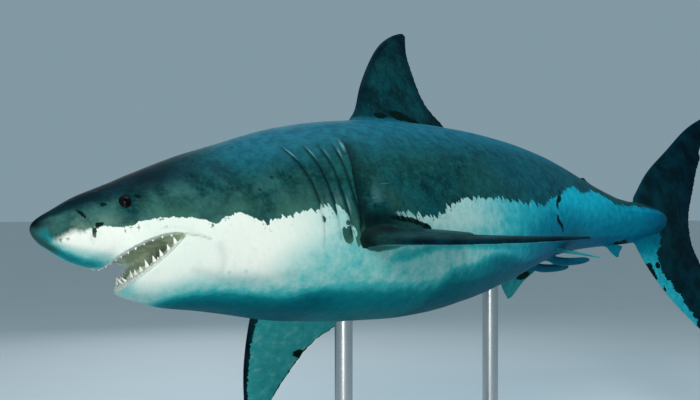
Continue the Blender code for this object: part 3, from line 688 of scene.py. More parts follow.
def lip_path(lower, inset, count):
    """Path inside one lip, from corner to corner: points, outward directions, share of the way back."""
    start, edge = LIP_LOWER if lower else LIP_UPPER
    xs, zs = np.array(sorted(edge)).T
    x = start + (0.1015 - start) * np.linspace(0.0, 1.0, 160) ** 1.6
    y = side(x, np.interp(x, xs, zs))
    half = np.vstack([[start - 0.0012, 0.0], np.stack([x, y], -1)])
    x, y = smoothed(even_steps(half, count), 4).T
    x, y = np.concatenate([x[:0:-1], x]), np.concatenate([-y[:0:-1], y])
    along = np.stack([np.gradient(x), np.gradient(y)], -1)
    outside = np.stack([-along[:, 1], along[:, 0]], -1) / np.linalg.norm(along, axis=1)[:, None]
    outside *= -np.sign(outside[len(x) // 2, 0])
    inner_x, inner_y = x - outside[:, 0] * inset, y - outside[:, 1] * inset
    z = np.interp(inner_x, xs, zs)
    share = np.abs(np.linspace(-1, 1, len(x)))
    return np.stack([inner_x, inner_y, z], -1), np.column_stack([outside, 0 * x]), share


def gum_mesh(lower):
    """Fleshy ridge that carries the teeth inside one lip."""
    path, outside, share = lip_path(lower, 0.0042 if lower else 0.0046, 70)
    rings, b = [], circle(22)
    sign = 1.0 if lower else -1.0
    for i, (point, out, s) in enumerate(zip(path, outside, share)):
        if s > 0.965:
            continue
        wide = (0.004 if lower else 0.0036) * (1 - 0.55 * s ** 2)
        tall = (0.0036 if lower else 0.0026) * (1 - 0.6 * s ** 2)
        ripple = 1 + 0.1 * math.sin(i * 1.9) + 0.06 * math.sin(i * 0.83 + 1)
        side_way = np.cos(b)[:, None] * out * wide
        rise = np.array([0, 0, 1.0]) * (np.sin(b) * tall * ripple)[:, None]
        rings.append(point + side_way + rise - np.array([0, 0, sign * 0.0006]))
    return loft(rings)


TEETH = 9                    # on each side of each jaw
TOOTH_AROUND = 12
TOOTH_LEVELS = [-0.3, 0.0, 0.1, 0.25, 0.42, 0.6, 0.77, 0.9]
TOOTH_ROOT = [1.0, 0.9, 0.5, 0.2, 0, 0, 0, 0]     # how yellow the enamel is at these levels


def tooth_mesh(base, out, up, height, width, bend, lean):
    """One curved, pointed tooth: lens-shaped sections that narrow to a point."""
    across = np.cross(up, out)
    across /= np.linalg.norm(across)
    out = np.cross(across, up)
    out /= np.linalg.norm(out)
    rings, b = [], circle(TOOTH_AROUND)
    for t in TOOTH_LEVELS:
        rise = max(t, 0.0)
        half = width / 2 * ((1 - rise) ** 0.85 + 0.25 * max(0.0, 0.12 - rise) / 0.12)
        thick = half * 0.42
        centre = base + up * height * t - out * bend * height * rise ** 2 + across * lean * height * rise ** 2
        rings.append(centre + np.cos(b)[:, None] * across * half + np.sin(b)[:, None] * out * thick)
    tip = base + up * height - out * bend * height + across * lean * height
    return loft(rings, back=tip)


def tooth_shape(lower, s, out, mirror):
    """Height, width, axis, bend, lean and lift of a tooth at the share s of the way back."""
    if lower:
        forward = 2.3 * (1 - smoothstep(s / 0.16)) + 0.3
        return (0.0084 * (1 - 0.35 * s), 0.0052 * (1 - 0.3 * s), np.array([0, 0, 1.0]) + forward * out,
                0.2 + 0.15 * (1 - s), 0.16 * mirror, 0.0012 * (1 - 0.5 * s))
    return (0.0034 * (1 - 0.45 * s), 0.004 * (1 - 0.4 * s), np.array([0, 0, -1.0]) + 0.12 * out,
            0.1, 0.08 * mirror, -0.0004)


def teeth_parts(lower):
    """All teeth of one jaw, front ones longest; a second, smaller row lies behind in the lower jaw."""
    path, outside, share = lip_path(lower, 0.0038 if lower else 0.0042, 150)
    rng = np.random.default_rng(11 if lower else 12)
    places = [(0.0, 1.0, 1.0, k, mirror) for k in range(TEETH) for mirror in (-1, 1)]
    if lower:
        places += [(0.003, 0.55, 0.9, k + 0.5, mirror) for k in range(TEETH) for mirror in (-1, 1)]
    parts = []
    for inward, tall, wide, k, mirror in places:
        vary = 1 + rng.uniform(-0.14, 0.14)
        i = int(round((len(path) - 1) * (1 + mirror * (k + 0.5) / (TEETH + 0.8)) / 2))
        if inward and share[i] > 0.7:
            continue
        out = outside[i]
        height, width, up, bend, lean, lift = tooth_shape(lower, share[i], out, mirror)
        base = path[i] + np.array([0, 0, lift]) - out * inward
        up = up / np.linalg.norm(up)
        parts.append(tooth_mesh(base, out, up, height * vary * tall, width * wide, bend, lean))
    return parts


def tongue_mesh():
    """Broad flat tongue with a shallow middle groove, on the floor of the mouth."""
    centre, radii = np.array([0.0925, 0.0, -0.0438]), np.array([0.0185, 0.0175, 0.0098])
    points, faces = ellipsoid_mesh(centre, radii, 36, 56)
    away = (points - centre) / radii
    top = smoothstep(away[:, 2] * 2)
    groove = bell(away[:, 1], 0, 0.16) * fall(away[:, 0], 0.7, 0.6)
    points[:, 2] -= 0.0012 * groove * top
    points[:, 2] += 0.0005 * np.sin(away[:, 0] * 11) * top * (1 - groove)
    return points, faces


# ---------------------------------------------------------------- one skin from all its parts
ORIGINS = ["body", "lining", "dorsal", "dorsal_small", "anal", "caudal", "pectoral_left", "pectoral_right",
           "pelvic_left", "pelvic_right", "clasper", "socket"]


def give_origin(thing, origin):
    """Marks every face with where it comes from, through its material slots."""
    for name in ORIGINS:
        thing.data.materials.append(bpy.data.materials.get(name) or bpy.data.materials.new(name))
    number = ORIGINS.index(origin)
    thing.data.polygons.foreach_set("material_index", np.full(len(thing.data.polygons), number, np.int32))


def boolean(thing, other, operation):
    """Joins or cuts a thing with another one, which is used up; faces keep their origin."""
    step = thing.modifiers.new("step", "BOOLEAN")
    step.operation = operation
    step.solver = "EXACT"
    step.material_mode = "INDEX"
    step.object = other
    graph = bpy.context.evaluated_depsgraph_get()
    result = bpy.data.meshes.new_from_object(thing.evaluated_get(graph))
    thing.modifiers.clear()
    old = thing.data
    thing.data = result
    bpy.data.meshes.remove(old)
    bpy.data.objects.remove(other, do_unlink=True)


def origin_part(name, mesh, origin=None):
    """A piece of the skin, marked with its origin, which is its name unless given."""
    part = tidy_faces(new_object(name, *mesh))
    give_origin(part, origin or name)
    return part


def joined(parts):
    """Several origin-marked objects as one, without a Boolean."""
    keep = parts[0]
    with bpy.context.temp_override(active_object=keep, object=keep, selected_editable_objects=parts,
                                   selected_objects=parts):
        bpy.ops.object.join()
    return keep


def socket_mesh(mirror):
    """Socket a little wider than the eye."""
    centre = (EYE_AT, mirror * (float(side(EYE_AT, EYE_LEVEL)) - EYE_DEPTH), EYE_LEVEL)
    radius = EYE_RADIUS * 1.035
    return ellipsoid_mesh(centre, (radius, radius, radius * EYE_TALL), 24, 40)


def nostril_mesh(mirror):
    """Slanted slit of one nostril."""
    points, faces = ellipsoid_mesh((0, 0, 0), (0.0011, 0.0026, 0.0042), 16, 28)
    lean = math.radians(-8)
    x = points[:, 0] * math.cos(lean) + points[:, 2] * math.sin(lean)
    z = -points[:, 0] * math.sin(lean) + points[:, 2] * math.cos(lean)
    y = points[:, 1] + float(side(NOSTRIL_AT, NOSTRIL_LEVEL))
    return np.stack([x + NOSTRIL_AT, mirror * y, z + NOSTRIL_LEVEL - 0.0008], -1), faces


def build_skin():
    """Body, fins and claspers as one closed surface with the mouth, eye sockets and nostrils cut in."""
    skin = body_mesh()
    give_origin(skin, "body")
    fins = [origin_part(name, fin_mesh(rows, spans, chords, PLACES.get(name, upright), ragged, flare, reach))
            for name, rows, spans, chords, ragged, flare, reach in FINS]
    boolean(skin, joined(fins), "UNION")
    rear = [origin_part("caudal", fin_mesh(CAUDAL, 150, 26, upright, 0.004))]
    rear += [origin_part("clasper", clasper_mesh(mirror)) for mirror in (-1, 1)]
    boolean(skin, joined(rear), "UNION")
    boolean(skin, origin_part("mouth", mouth_cutter(), "lining"), "DIFFERENCE")
    hollows = [origin_part("gullet", ellipsoid_mesh(*GULLET), "lining")]
    hollows += [origin_part("socket", socket_mesh(mirror)) for mirror in (-1, 1)]
    hollows += [origin_part("nostril", nostril_mesh(mirror), "socket") for mirror in (-1, 1)]
    boolean(skin, joined(hollows), "DIFFERENCE")
    boolean(skin, origin_part("palate", ellipsoid_mesh(*PALATE), "lining"), "DIFFERENCE")
    return tidy_faces(skin)


def relax(points, edges, weight, rounds):
    """Moves points toward the mean of their neighbours, by weight."""
    count = np.bincount(edges.ravel(), minlength=len(points)).astype(float)
    ends = np.concatenate([edges[:, 0], edges[:, 1]])
    starts = np.concatenate([edges[:, 1], edges[:, 0]])
    for _ in range(rounds):
        total = np.stack([np.bincount(ends, points[starts, k], len(points)) for k in range(3)], -1)
        points = points + weight[:, None] * (total / count[:, None] - points)
    return points


def near(points, seeds, reach):
    """1 on the seed points, falling to 0 at the distance reach."""
    tree = kdtree.KDTree(len(seeds))
    for i, point in enumerate(seeds):
        tree.insert(point, i)
    tree.balance()
    low, high = seeds.min(0) - reach, seeds.max(0) + reach
    share = np.zeros(len(points))
    for i in np.nonzero(np.all((points > low) & (points < high), axis=1))[0]:
        share[i] = max(0.0, 1 - tree.find(points[i])[2] / reach)
    return share


def soften(skin):
    """Rounds the fin roots and the lips; gives the points, the origins they touch and each face's origin."""
    mesh = skin.data
    points = read(mesh.vertices, "co", 3)
    edges = read(mesh.edges, "vertices", 2, np.int64)
    corners = read(mesh.loops, "vertex_index", 1, np.int64).reshape(-1, 3)
    origin = read(mesh.polygons, "material_index", 1, np.int64)
    touches = np.zeros((len(points), len(ORIGINS)), bool)
    for k in range(3):
        touches[corners[:, k], origin] = True
    body, lining = (touches[:, ORIGINS.index(name)] for name in ("body", "lining"))
    fins = touches[:, ORIGINS.index("dorsal"):ORIGINS.index("socket")].any(axis=1)
    root = near(points, points[body & fins], 0.0085)
    lip = near(points, points[body & lining], 0.0024)
    points = relax(points, edges, 0.55 * smoothstep(root * 1.3), 14)
    points = relax(points, edges, 0.4 * smoothstep(lip * 1.3), 3)
    return points, touches, origin


# ---------------------------------------------------------------- markings
PLAIN = {         # the markings of a point where nothing else is said
    "tone": -0.02,      # distance inside the white, negative in the grey back
    "ink": -0.02,       # distance inside the near-black marks
    "shade": 0.0,       # painted shade of slits, folds and hollows, or painted highlight where negative
    "cool": 1.0,        # how teal the white is, darker toward the underside as painted shade
    "night": 0.5,       # how navy the grey is
    "crest": 0.0}       # painted blue sheen of the grey back, where light falls from above
RIGHT_SHIFT = 0.004       # the marks lie this much further back on the right side
BOUNDARY = [     # side view of the line between the grey back and the white belly
    (0.0, -0.003), (0.007, -0.0035), (0.0092, -0.011), (0.0125, -0.0126), (0.0175, -0.0112),
    (0.0252, -0.0087), (0.0302, -0.01), (0.0407, -0.0088), (0.0476, -0.009), (0.0545, -0.0111),
    (0.0615, -0.0123), (0.0653, -0.0106), (0.0711, -0.0088), (0.0777, -0.0081), (0.0843, -0.0078),
    (0.0985, -0.0084), (0.1061, -0.0098), (0.1128, -0.0114), (0.1175, -0.0132), (0.1223, -0.0155),
    (0.1259, -0.017), (0.132, -0.013), (0.146, -0.01), (0.168, -0.019), (0.187, -0.014), (0.209, -0.012),
    (0.2158, -0.013), (0.2166, -0.005), (0.23, -0.017), (0.2308, -0.006), (0.2405, -0.018),
    (0.2425, -0.024), (0.248, -0.03), (0.25, -0.04), (0.252, -0.042), (0.262, -0.0425), (0.278, -0.0415),
    (0.284, -0.026), (0.2875, -0.0145), (0.3, -0.0172), (0.3275, -0.0222), (0.335, -0.0205),
    (0.3431, -0.017), (0.3563, -0.0105), (0.3712, -0.0052), (0.3977, -0.003), (0.4216, -0.0018),
    (0.4528, -0.0018), (0.4918, -0.0024), (0.5187, -0.001), (0.5454, 0.0086), (0.5718, 0.017),
    (0.6091, 0.0295), (0.6214, 0.03), (0.6317, 0.0225), (0.669, 0.03), (0.696, 0.032), (0.747, 0.02),
    (0.792, 0.022), (0.83, 0.018), (0.872, 0.012)]
ARMPIT = [(0.27, -0.02), (0.286, -0.0206), (0.303, -0.0226), (0.315, -0.0262), (0.329, -0.0335)]
SLATE_BLOBS = [     # islands of the grey back in the white: side-view centre, radii, lean
    (0.2395, -0.034, 0.0058, 0.0072, 0.0), (0.25, -0.038, 0.0034, 0.005, 0.0),
    (0.2395, -0.024, 0.0026, 0.0024, 0.0), (0.218, -0.0195, 0.0013, 0.0018, 0.0)]
INK_BLOBS = [     # near-black marks: side-view centre, radii, lean
    (0.778, -0.018, 0.017, 0.0034, 0.0), (0.0408, -0.008, 0.003, 0.0022, 0.5),
    (0.0478, 0.0082, 0.0026, 0.0018, 0.0), (0.0725, 0.0118, 0.0034, 0.0022, -0.8)]
INK_LINES = [     # chain in side view, half width at its start and end
    # the first two lines are painted shade: the groove above the nostril and the nostril's slit
    ([(0.0285, 0.0056), (0.0308, 0.003), (0.0332, -0.0016)], 0.0012, 0.0007),
    ([(0.0392, -0.0066), (0.0378, -0.0105), (0.0372, -0.0135)], 0.0012, 0.0004),
    ([(0.284, -0.0212), (0.303, -0.0236), (0.315, -0.027), (0.3245, -0.0312)], 0.002, 0.0026),
    ([(0.564, 0.017), (0.5624, 0.0111), (0.552, 0.005), (0.5477, -0.002)], 0.0034, 0.0026),
    ([(0.547, -0.009), (0.551, -0.014), (0.5633, -0.0179), (0.5789, -0.0243)], 0.0028, 0.0012)]
# near-black patches at the base of the dorsal fin: side-view centre, radii, lean
DORSAL_DARK_PATCHES = [(0.379, 0.106, 0.009, 0.0032, 0.0), (0.409, 0.108, 0.015, 0.0052, -0.6),
                 (0.43, 0.1045, 0.009, 0.004, -1.5), (0.447, 0.0995, 0.01, 0.0028, -2.5)]
LOBE_BAND = [     # pale band along the front of the lower caudal lobe: level, width
    (-0.135, -0.004), (-0.12, 0.0067), (-0.105, 0.0095), (-0.0873, 0.0165), (-0.059, 0.0134),
    (-0.0463, 0.0183), (-0.0335, 0.0212), (-0.0228, 0.0376), (-0.0152, 0.0437), (0.004, 0.05)]
LOBE_SPOTS = [(0.8222, -0.0468, 0.0042, 0.0034, 0.0), (0.8342, -0.0478, 0.0046, 0.0042, 0.0),
              (0.8262, -0.057, 0.0032, 0.0075, -0.5), (0.839, -0.076, 0.002, 0.004, -0.5)]

PECTORAL_SMUDGE = (0.088, 0.056, 0.01, 0.006, 0.2)
PELVIC_SMUDGE = (0.052, 0.013, 0.012, 0.0055)


def outline_share(rows, c, h, rising=1):
    """Distance behind the leading edge and ahead of the trailing edge of a fin, and share of its span."""
    front_c, front_h, back_c, back_h, _ = fin_table(rows, np.linspace(0, len(rows) - 1, 200))
    edges = []
    for edge_c, edge_h in ((front_c, front_h * rising), (back_c, back_h * rising)):
        order = np.argsort(edge_h)
        edges.append(np.interp(h * rising, edge_h[order], edge_c[order]))
    tip = max(abs(front_h[-1]), abs(front_h[0]))
    return c - edges[0], edges[1] - c, np.clip(np.abs(h) / tip, 0, 1)


def inked(spots, x, z, where=True, less=0.0):
    """Distance inside the nearest of several spots, no less than outside of all ink."""
    return np.where(where, np.maximum(blobs(spots, x, z) - less, PLAIN["ink"]), PLAIN["ink"])


def back_edge(x, y, z):
    """Distance below the line between the grey back and the white belly."""
    line = np.interp(x, *np.array(BOUNDARY).T)
    wavy = line + 0.003 * np.sin(x * 41 + 1.0) + 0.0016 * np.sin(x * 97)
    tone = np.where(y < 0, line, wavy) - z
    xs, zs = np.array(ARMPIT).T
    pocket = (x > xs[0]) & (x < xs[-1]) & (z > -0.042)
    tone = np.where(pocket, np.minimum(tone, z - np.interp(x, xs, zs)), tone)
    return np.minimum(tone, -2 * blobs(SLATE_BLOBS, x - np.where(y < 0, 0, RIGHT_SHIFT), z))


def body_ink(x, y, z):
    """Distance inside the near-black marks of the body; the lines at the nostril are painted shade of its
    groove and slit.
    """
    at = x - np.where(y < 0, 0, RIGHT_SHIFT)
    ink = inked(INK_BLOBS, at, z)
    for line, first, last in INK_LINES:
        away, share = segment_distance(at, z, line)
        ink = np.maximum(ink, first + (last - first) * share - away)
    return np.maximum(ink, inked(DORSAL_DARK_PATCHES, x, z, y < 0.002, 0.0006))


def body_shade(x, y, z, tone):
    """Painted shade in slits, folds, hollows and by the pectoral root, and a darker snout tip; negative for
    painted highlights and lighter patches.
    """
    _, dark, pale = gill_share(x, z)
    # painted shade on the flank behind the last gill slit, down to the pectoral root
    pectoral_root_shade = rise(x, 0.2535, 0.004) * fall(x, 0.32, 0.05)
    pectoral_root_shade = pectoral_root_shade * fall(z, -0.006, 0.016) * rise(z, -0.0445, 0.006)
    # painted shade in the gill slits, fainter in the white; a darker snout tip and middle line under it
    shades = [
        0.99 * dark * (1 - 0.75 * rise(tone, 0.0005, 0.004)),
        0.95 * bell(np.hypot(x + 0.001, z + 0.0015), 0, 0.009),
        0.97 * bell(y, 0, 0.0056) * fall(x, 0.022, 0.008),
        0.88 * pectoral_root_shade]
    # painted shade along the furrows
    for furrow, depth, width in FURROWS:
        away, _ = segment_distance(x, z, furrow)
        shades.append(min(1.0, depth / 0.0016) * 0.55 * bell(away, 0, 0.8 * width))
    shade = np.max(shades, axis=0)
    # painted highlights on the edges of the gill slits
    shade = np.where(shade < 0.5, shade - 0.85 * pale, shade)
    # lighter patches behind the last gill slits, on the grey only
    lighter_patches = np.maximum(bell(x, 0.268, 0.012) * bell(z, -0.002, 0.014),
                      bell(x, 0.238, 0.016) * bell(z, -0.005, 0.012))
    return shade - 0.15 * lighter_patches * smoothstep(-tone / 0.005) * fall(shade, 0.5, 0.5)


def body_teal_and_shade(x, z, below):
    """How teal the white is: little on the head, more on the rear flank and along the keel; painted shade
    darkens it toward the underside and under the pectoral fin.
    """
    sunk = x + 1.5 * np.maximum(-0.03 - z, 0)
    light_patch = 1 - 0.35 * bell(x, 0.355, 0.055) * rise(z, -0.036, 0.012)
    flank = (0.8 * rise(sunk, 0.18, 0.08) * light_patch
             + rise(x, 0.395, 0.175) * (0.26 + np.clip(22 * (0.008 - z), 0, 0.8))
             + 0.45 * rise(x, 0.64, 0.18))
    # painted shadow of the pectoral fin on the flank below it
    fin_shadow = -0.0535 + 0.009 * rise(x, 0.295, 0.05)
    flank = np.maximum(flank, 1.2 * bell(z, fin_shadow, 0.0085) * rise(x, 0.262, 0.03))
    # painted shade of the underside: darker teal below this level
    keel = -0.05 + 0.011 * rise(x, 0.375, 0.05)
    flank = np.maximum(flank, (1.55 + 0.45 * rise(x, 0.4, 0.05))
                       * fall(z, keel, 0.02) * rise(x, 0.325, 0.045))
    # the white turns teal and then darker toward the underside, as painted shade
    start = (0.6 + 0.07 * fall(x, 0.07, 0.01) + 0.2 * bell(x, 0.078, 0.02)
             - 0.08 * rise(x, 0.19, 0.04))
    cool = np.maximum(flank, 0.9 * rise(below, start, 0.32))
    underside_shade = 1.25 - 0.45 * rise(x, 0.22, 0.04) * fall(x, 0.38, 0.04)
    cool = np.minimum(cool + underside_shade * rise(below - start, 0.25, 0.16), 2.1)
    cool = cool + 0.7 * rise(x, 0.79, 0.07)
    return np.maximum(cool, 1.6 * fall(x, 0.016, 0.009))


def body_marks(points):
    """Markings of the points of the body."""
    x, y, z = points.T
    top, bottom, _, level, _, _ = section(x)
    thin = 1e-9      # keeps the snout tip from dividing by zero
    below = np.clip((level - z) / np.maximum(level - bottom, thin), 0, 1)
    above = np.clip((z - level) / np.maximum(top - level, thin), 0, 1)
    tone = back_edge(x, y, z)
    crown = rise(above, 0.36, 0.32) * fall(x, 0.165, 0.07)
    # painted sheen: the upper back is bluer where light falls from above
    crest = np.maximum(rise(above, 0.3, 0.55), 0.45 * rise(x, 0.36, 0.15))
    return {
        "tone": tone,
        "ink": body_ink(x, y, z),
        "shade": body_shade(x, y, z, tone),
        "cool": body_teal_and_shade(x, z, below),
        "night": 0.75 * rise(x, 0.8, 0.05) + 0.92 * crown,
        "crest": crest * rise(x, 0.115, 0.07) * fall(x, 0.8, 0.2)}


def upright_marks(name, x, y, z):
    """Markings of the fins on the middle line."""
    rows, rising = {"dorsal": (DORSAL, 1), "dorsal_small": (DORSAL_SMALL, 1), "anal": (ANAL, -1)}[name]
    lead, trail, span = outline_share(rows, x, z, rising)
    night = 0.42 + 0.4 * rise(span, 0.82, 0.16) + 0.45 * fall(trail, 0.018, 0.018)
    if name == "anal":
        return {"night": night, "tone": 0.02, "cool": 1.7}
    if name == "dorsal_small":
        return {"night": night}
    night = np.minimum(night + 0.55 * fall(lead, 0.013, 0.01), 1.0)
    foot = z - section(x)[0]
    # the painted blue sheen of the back runs on along the foot of the dorsal fin
    crest = 0.95 * fall(foot, 0.0095, 0.004) * fall(x, 0.455, 0.04)
    return {"night": night * (1 - crest), "crest": crest, "ink": inked(DORSAL_DARK_PATCHES, x, z, y < 0.002)}


def caudal_marks(x, _, z):
    """Markings of the tail fin: a pale band and spots on the lower lobe."""
    lead, trail, _ = outline_share(TAIL_LOWER, x, z, -1)
    band = np.interp(z, *np.array(LOBE_BAND).T) - lead
    return {"tone": np.where(z < 0.004, np.clip(band, -0.02, 0.02), -0.02),
            "night": 0.86 + 0.14 * fall(trail, 0.012, 0.012),
            "cool": 1.15 + 0.95 * rise(z, -0.045, 0.035),
            "ink": inked(LOBE_SPOTS, x, z)}


def pectoral_marks(c, h, lift):
    """Markings of a pectoral fin: grey above, white below inside a grey rim and tip, painted shade at the
    front of its root.
    """
    lead, trail, span = outline_share(PECTORAL, c, h)
    rim = 0.005 * (1 - 0.45 * span) + 0.002 * fall(span, 0.3, 0.15)
    under = np.min([lead - rim, trail - 0.0016, (0.93 - span) * 0.12], axis=0)
    front = 0.62 + 0.38 * fall(lead, 0.01, 0.01)
    return {"tone": np.where(lift < 0, np.clip(3 * under, -0.02, 0.02), -0.02),
            "night": front * (0.25 + 0.75 * rise(span, 0.05, 0.25)),
            # painted shade at the front of the fin's root
            "shade": 0.86 * fall(span, 0.17, 0.1) * fall(lead, 0.058, 0.04),
            "cool": 1.05,
            "ink": inked([PECTORAL_SMUDGE], c, h, lift < 0, 0.001)}


def pelvic_marks(c, h, lift):
    """Markings of a pelvic fin: white below, grey above behind a white leading edge."""
    lead, _, span = outline_share(PELVIC, c, h)
    return {"tone": np.where(lift < 0, 0.02, np.minimum(0.0185 - lead, 0.02)),
            "ink": inked([PELVIC_SMUDGE], c, h),
            "cool": 1.25 + 0.6 * fall(span, 0.4, 0.3)}


def fin_marks(name, points):
    """Markings of the points of one fin, where they differ from the plain ones."""
    if name == "caudal":
        return caudal_marks(*points.T)
    if name == "clasper":
        return {"tone": 0.02, "cool": 2.2, "shade": 0.3 * rise(points[:, 0], 0.675, 0.008)}
    if name not in PLACES:
        return upright_marks(name, *points.T)
    marks = pectoral_marks if name.startswith("pectoral") else pelvic_marks
    return marks(*PLACES[name].local(points))


def grain_coordinates(name, points):
    """Coordinates whose first axis runs along the markings' edges, for the streaks of the borders."""
    x, y, z = points.T
    if name == "body":
        return np.stack([x + 0.3 * z, z * 0.9, y], -1)
    if name in PLACES:
        c, h, lift = PLACES[name].local(points)
        return np.stack([h + 0.15 * c - 1.0, c, lift + 0.5], -1)
    if name == "caudal":
        return np.stack([2.0 - z + 0.2 * x, x, y], -1)
    return np.stack([x + 0.2 * z + 3.0, z, y], -1)


def paint(skin, points, touches):
    """Stores the markings as point attributes."""
    marks, grain = body_marks(points), grain_coordinates("body", points)
    for name in ORIGINS:
        if name in ("body", "lining", "socket"):
            continue
        chosen = touches[:, ORIGINS.index(name)]
        fresh = {**PLAIN, **fin_marks(name, points[chosen])}
        for key in marks:
            marks[key][chosen] = fresh[key]
        grain[chosen] = grain_coordinates(name, points[chosen])
    x, _, z = points.T
    # painted shade deep in the mouth toward the throat, and a little under the palate
    mouth_shade = np.maximum(0.85 * rise(x, 0.1, 0.012), 0.12 * rise(z, -0.0225, 0.004))
    in_mouth = touches[:, ORIGINS.index("lining")] & ~touches[:, ORIGINS.index("body")]
    # painted shade inside the nostrils
    in_nostril = touches[:, ORIGINS.index("socket")] & (x < 0.05)
    marks["shade"] = np.where(in_nostril, 0.85, np.where(in_mouth, mouth_shade, marks["shade"]))
    for name, value in marks.items():
        store(skin, name, value)
    store(skin, "grain", grain)


# ---------------------------------------------------------------- materials
class Graph:
    """Short names for building one material's nodes."""

    def __init__(self, name):
        self.material = bpy.data.materials.new(name)
        self.material.use_nodes = True
        self.tree = self.material.node_tree
        self.surface = self.tree.nodes["Principled BSDF"]

    def node(self, kind, inputs=None, **settings):
        made = self.tree.nodes.new(kind)
        for key, value in settings.items():
            setattr(made, key, value)
        for key, value in (inputs or {}).items():
            self.put(made.inputs[key], value)
        return made

    def put(self, socket, value):
        if isinstance(value, bpy.types.NodeSocket):
            self.tree.links.new(value, socket)
        else:
            socket.default_value = value

    def math(self, operation, a, b=0.0, c=0.0, clamp=False):
        made = self.node("ShaderNodeMath", {0: a, 1: b, 2: c}, operation=operation, use_clamp=clamp)
        return made.outputs[0]

    def times(self, *values):
        """Product of the values."""
        return reduce(lambda a, b: self.math("MULTIPLY", a, b), values)

    def swing(self, noise):
        """A noise as a value round 0."""
        return self.math("SUBTRACT", noise, 0.5)

    def mix(self, share, a, b, blend="MIX"):
        made = self.node("ShaderNodeMix", {0: share, 6: a, 7: b}, data_type="RGBA", blend_type=blend)
        return made.outputs[2]

    def ramp(self, value, low, high):
        """0 below low, 1 above high, smooth between."""
        made = self.node("ShaderNodeMapRange", {0: value, 1: low, 2: high}, interpolation_type="SMOOTHSTEP")
        return made.outputs[0]

    def blend(self, value, low, high, dark, light):
        """The dark colour where the value is below low, the light one where it is above high."""
        return self.mix(self.ramp(value, low, high), colour(*dark), colour(*light))

    def coat(self, base, tint, *shares):
        """The base under a colour whose share is the product of the shares."""
        return self.mix(self.times(*shares), base, colour(*tint))

    def attribute(self, name, vector=False):
        made = self.node("ShaderNodeAttribute", attribute_name=name)
        return made.outputs["Vector" if vector else "Fac"]

    def place(self, vector, scale):
        return self.node("ShaderNodeMapping", {0: vector, 3: scale}).outputs[0]

    def noise(self, vector, scale, detail=3.0, rough=0.5):
        inputs = {"Vector": vector, "Scale": scale, "Detail": detail, "Roughness": rough}
        return self.node("ShaderNodeTexNoise", inputs).outputs[0]

    def bump(self, height, distance, strength=1.0, normal=None):
        inputs = {"Height": height, "Distance": distance, "Strength": strength}
        if normal is not None:
            inputs["Normal"] = normal
        return self.node("ShaderNodeBump", inputs).outputs[0]

    def object_points(self):
        return self.node("ShaderNodeTexCoord").outputs["Object"]

    def finish(self, **inputs):
        for key, value in inputs.items():
            self.put(self.surface.inputs[key.replace("_", " ")], value)
        return self.material


def colour(red, green, blue):
    """Opaque colour for a socket."""
    return (red, green, blue, 1.0)


STREAKS = {       # noises along the grain: stretch, detail, roughness
    "streaks": ((300.0, 46.0, 46.0), 2.0, 0.55),
    "tongues": ((85.0, 22.0, 22.0), 2.0, 0.5),
    "fine": ((800.0, 420.0, 420.0), 2.0, 0.6),
    "scratches": ((40.0, 420.0, 90.0), 3.0, 0.6),
    "creases": ((150.0, 34.0, 34.0), 4.0, 0.6)}
NOISES = {        # noises in metres: scale, detail, roughness
    "cloud": (2.6, 3.0, 0.5), "patches": (3.1, 2.0, 0.5), "mottle": (9.0, 6.0, 0.62),
    "patchy": (27.0, 5.0, 0.65), "freckles": (62.0, 3.0, 0.6), "grit": (75.0, 4.0, 0.7),
    "speck": (120.0, 4.0, 0.7), "pores": (260.0, 3.0, 0.6), "denticles": (900.0, 2.0, 0.6)}
SLATE_COATS = [   # noise, where it begins and is full, strength and colour over the grey
    ("cloud", 0.42, 0.66, 0.4, (0.02, 0.09, 0.062)),
    ("patchy", 0.5, 0.72, 0.45, (0.014, 0.125, 0.12)),
    ("patchy", 0.5, 0.3, 0.45, (0.001, 0.016, 0.019)),
    ("grit", 0.5, 0.72, 0.4, (0.016, 0.14, 0.13)),
    ("grit", 0.5, 0.32, 0.4, (0.0008, 0.016, 0.018)),
    ("speck", 0.5, 0.78, 0.25, (0.04, 0.19, 0.185))]
WHITE_COATS = [   # the same over the white
    ("cloud", 0.35, 0.7, 0.22, (0.42, 0.68, 0.6)),
    ("patchy", 0.52, 0.75, 0.16, (0.28, 0.52, 0.46)),
    ("speck", 0.5, 0.8, 0.14, (0.3, 0.5, 0.44))]
TEAL_STEPS = [    # how cool the white belly is, the later steps also the painted shade of the underside: start and reach of each step, and the colour it leads to
    (0.0, 1.0, (0.05, 0.43, 0.43)),
    (1.0, 0.5, (0.004, 0.215, 0.245)),
    (1.5, 0.5, (0.001, 0.13, 0.17)),
    (2.0, 1.0, (0.0005, 0.028, 0.05))]


def skin_fields(g):
    """The attributes and noises that the skin is made of, by name."""
    f = SimpleNamespace(**{name: g.attribute(name) for name in PLAIN})
    grain, metres = g.attribute("grain", True), g.object_points()
    f.along = g.node("ShaderNodeSeparateXYZ", {0: grain}).outputs[0]
    for name, (stretch, detail, rough) in STREAKS.items():
        setattr(f, name, g.noise(g.place(grain, stretch), 1.0, detail, rough))
    for name, (scale, detail, rough) in NOISES.items():
        setattr(f, name, g.noise(metres, scale, detail, rough))
    cells = g.node("ShaderNodeTexVoronoi", {"Vector": metres, "Scale": 16.0})
    chance = g.node("ShaderNodeSeparateColor", {0: cells.outputs["Color"]}).outputs[0]
    f.dots = g.times(g.math("GREATER_THAN", chance, 0.66),
                     g.math("SUBTRACT", 1.0, g.ramp(cells.outputs["Distance"], 0.05, 0.17)))
    return f


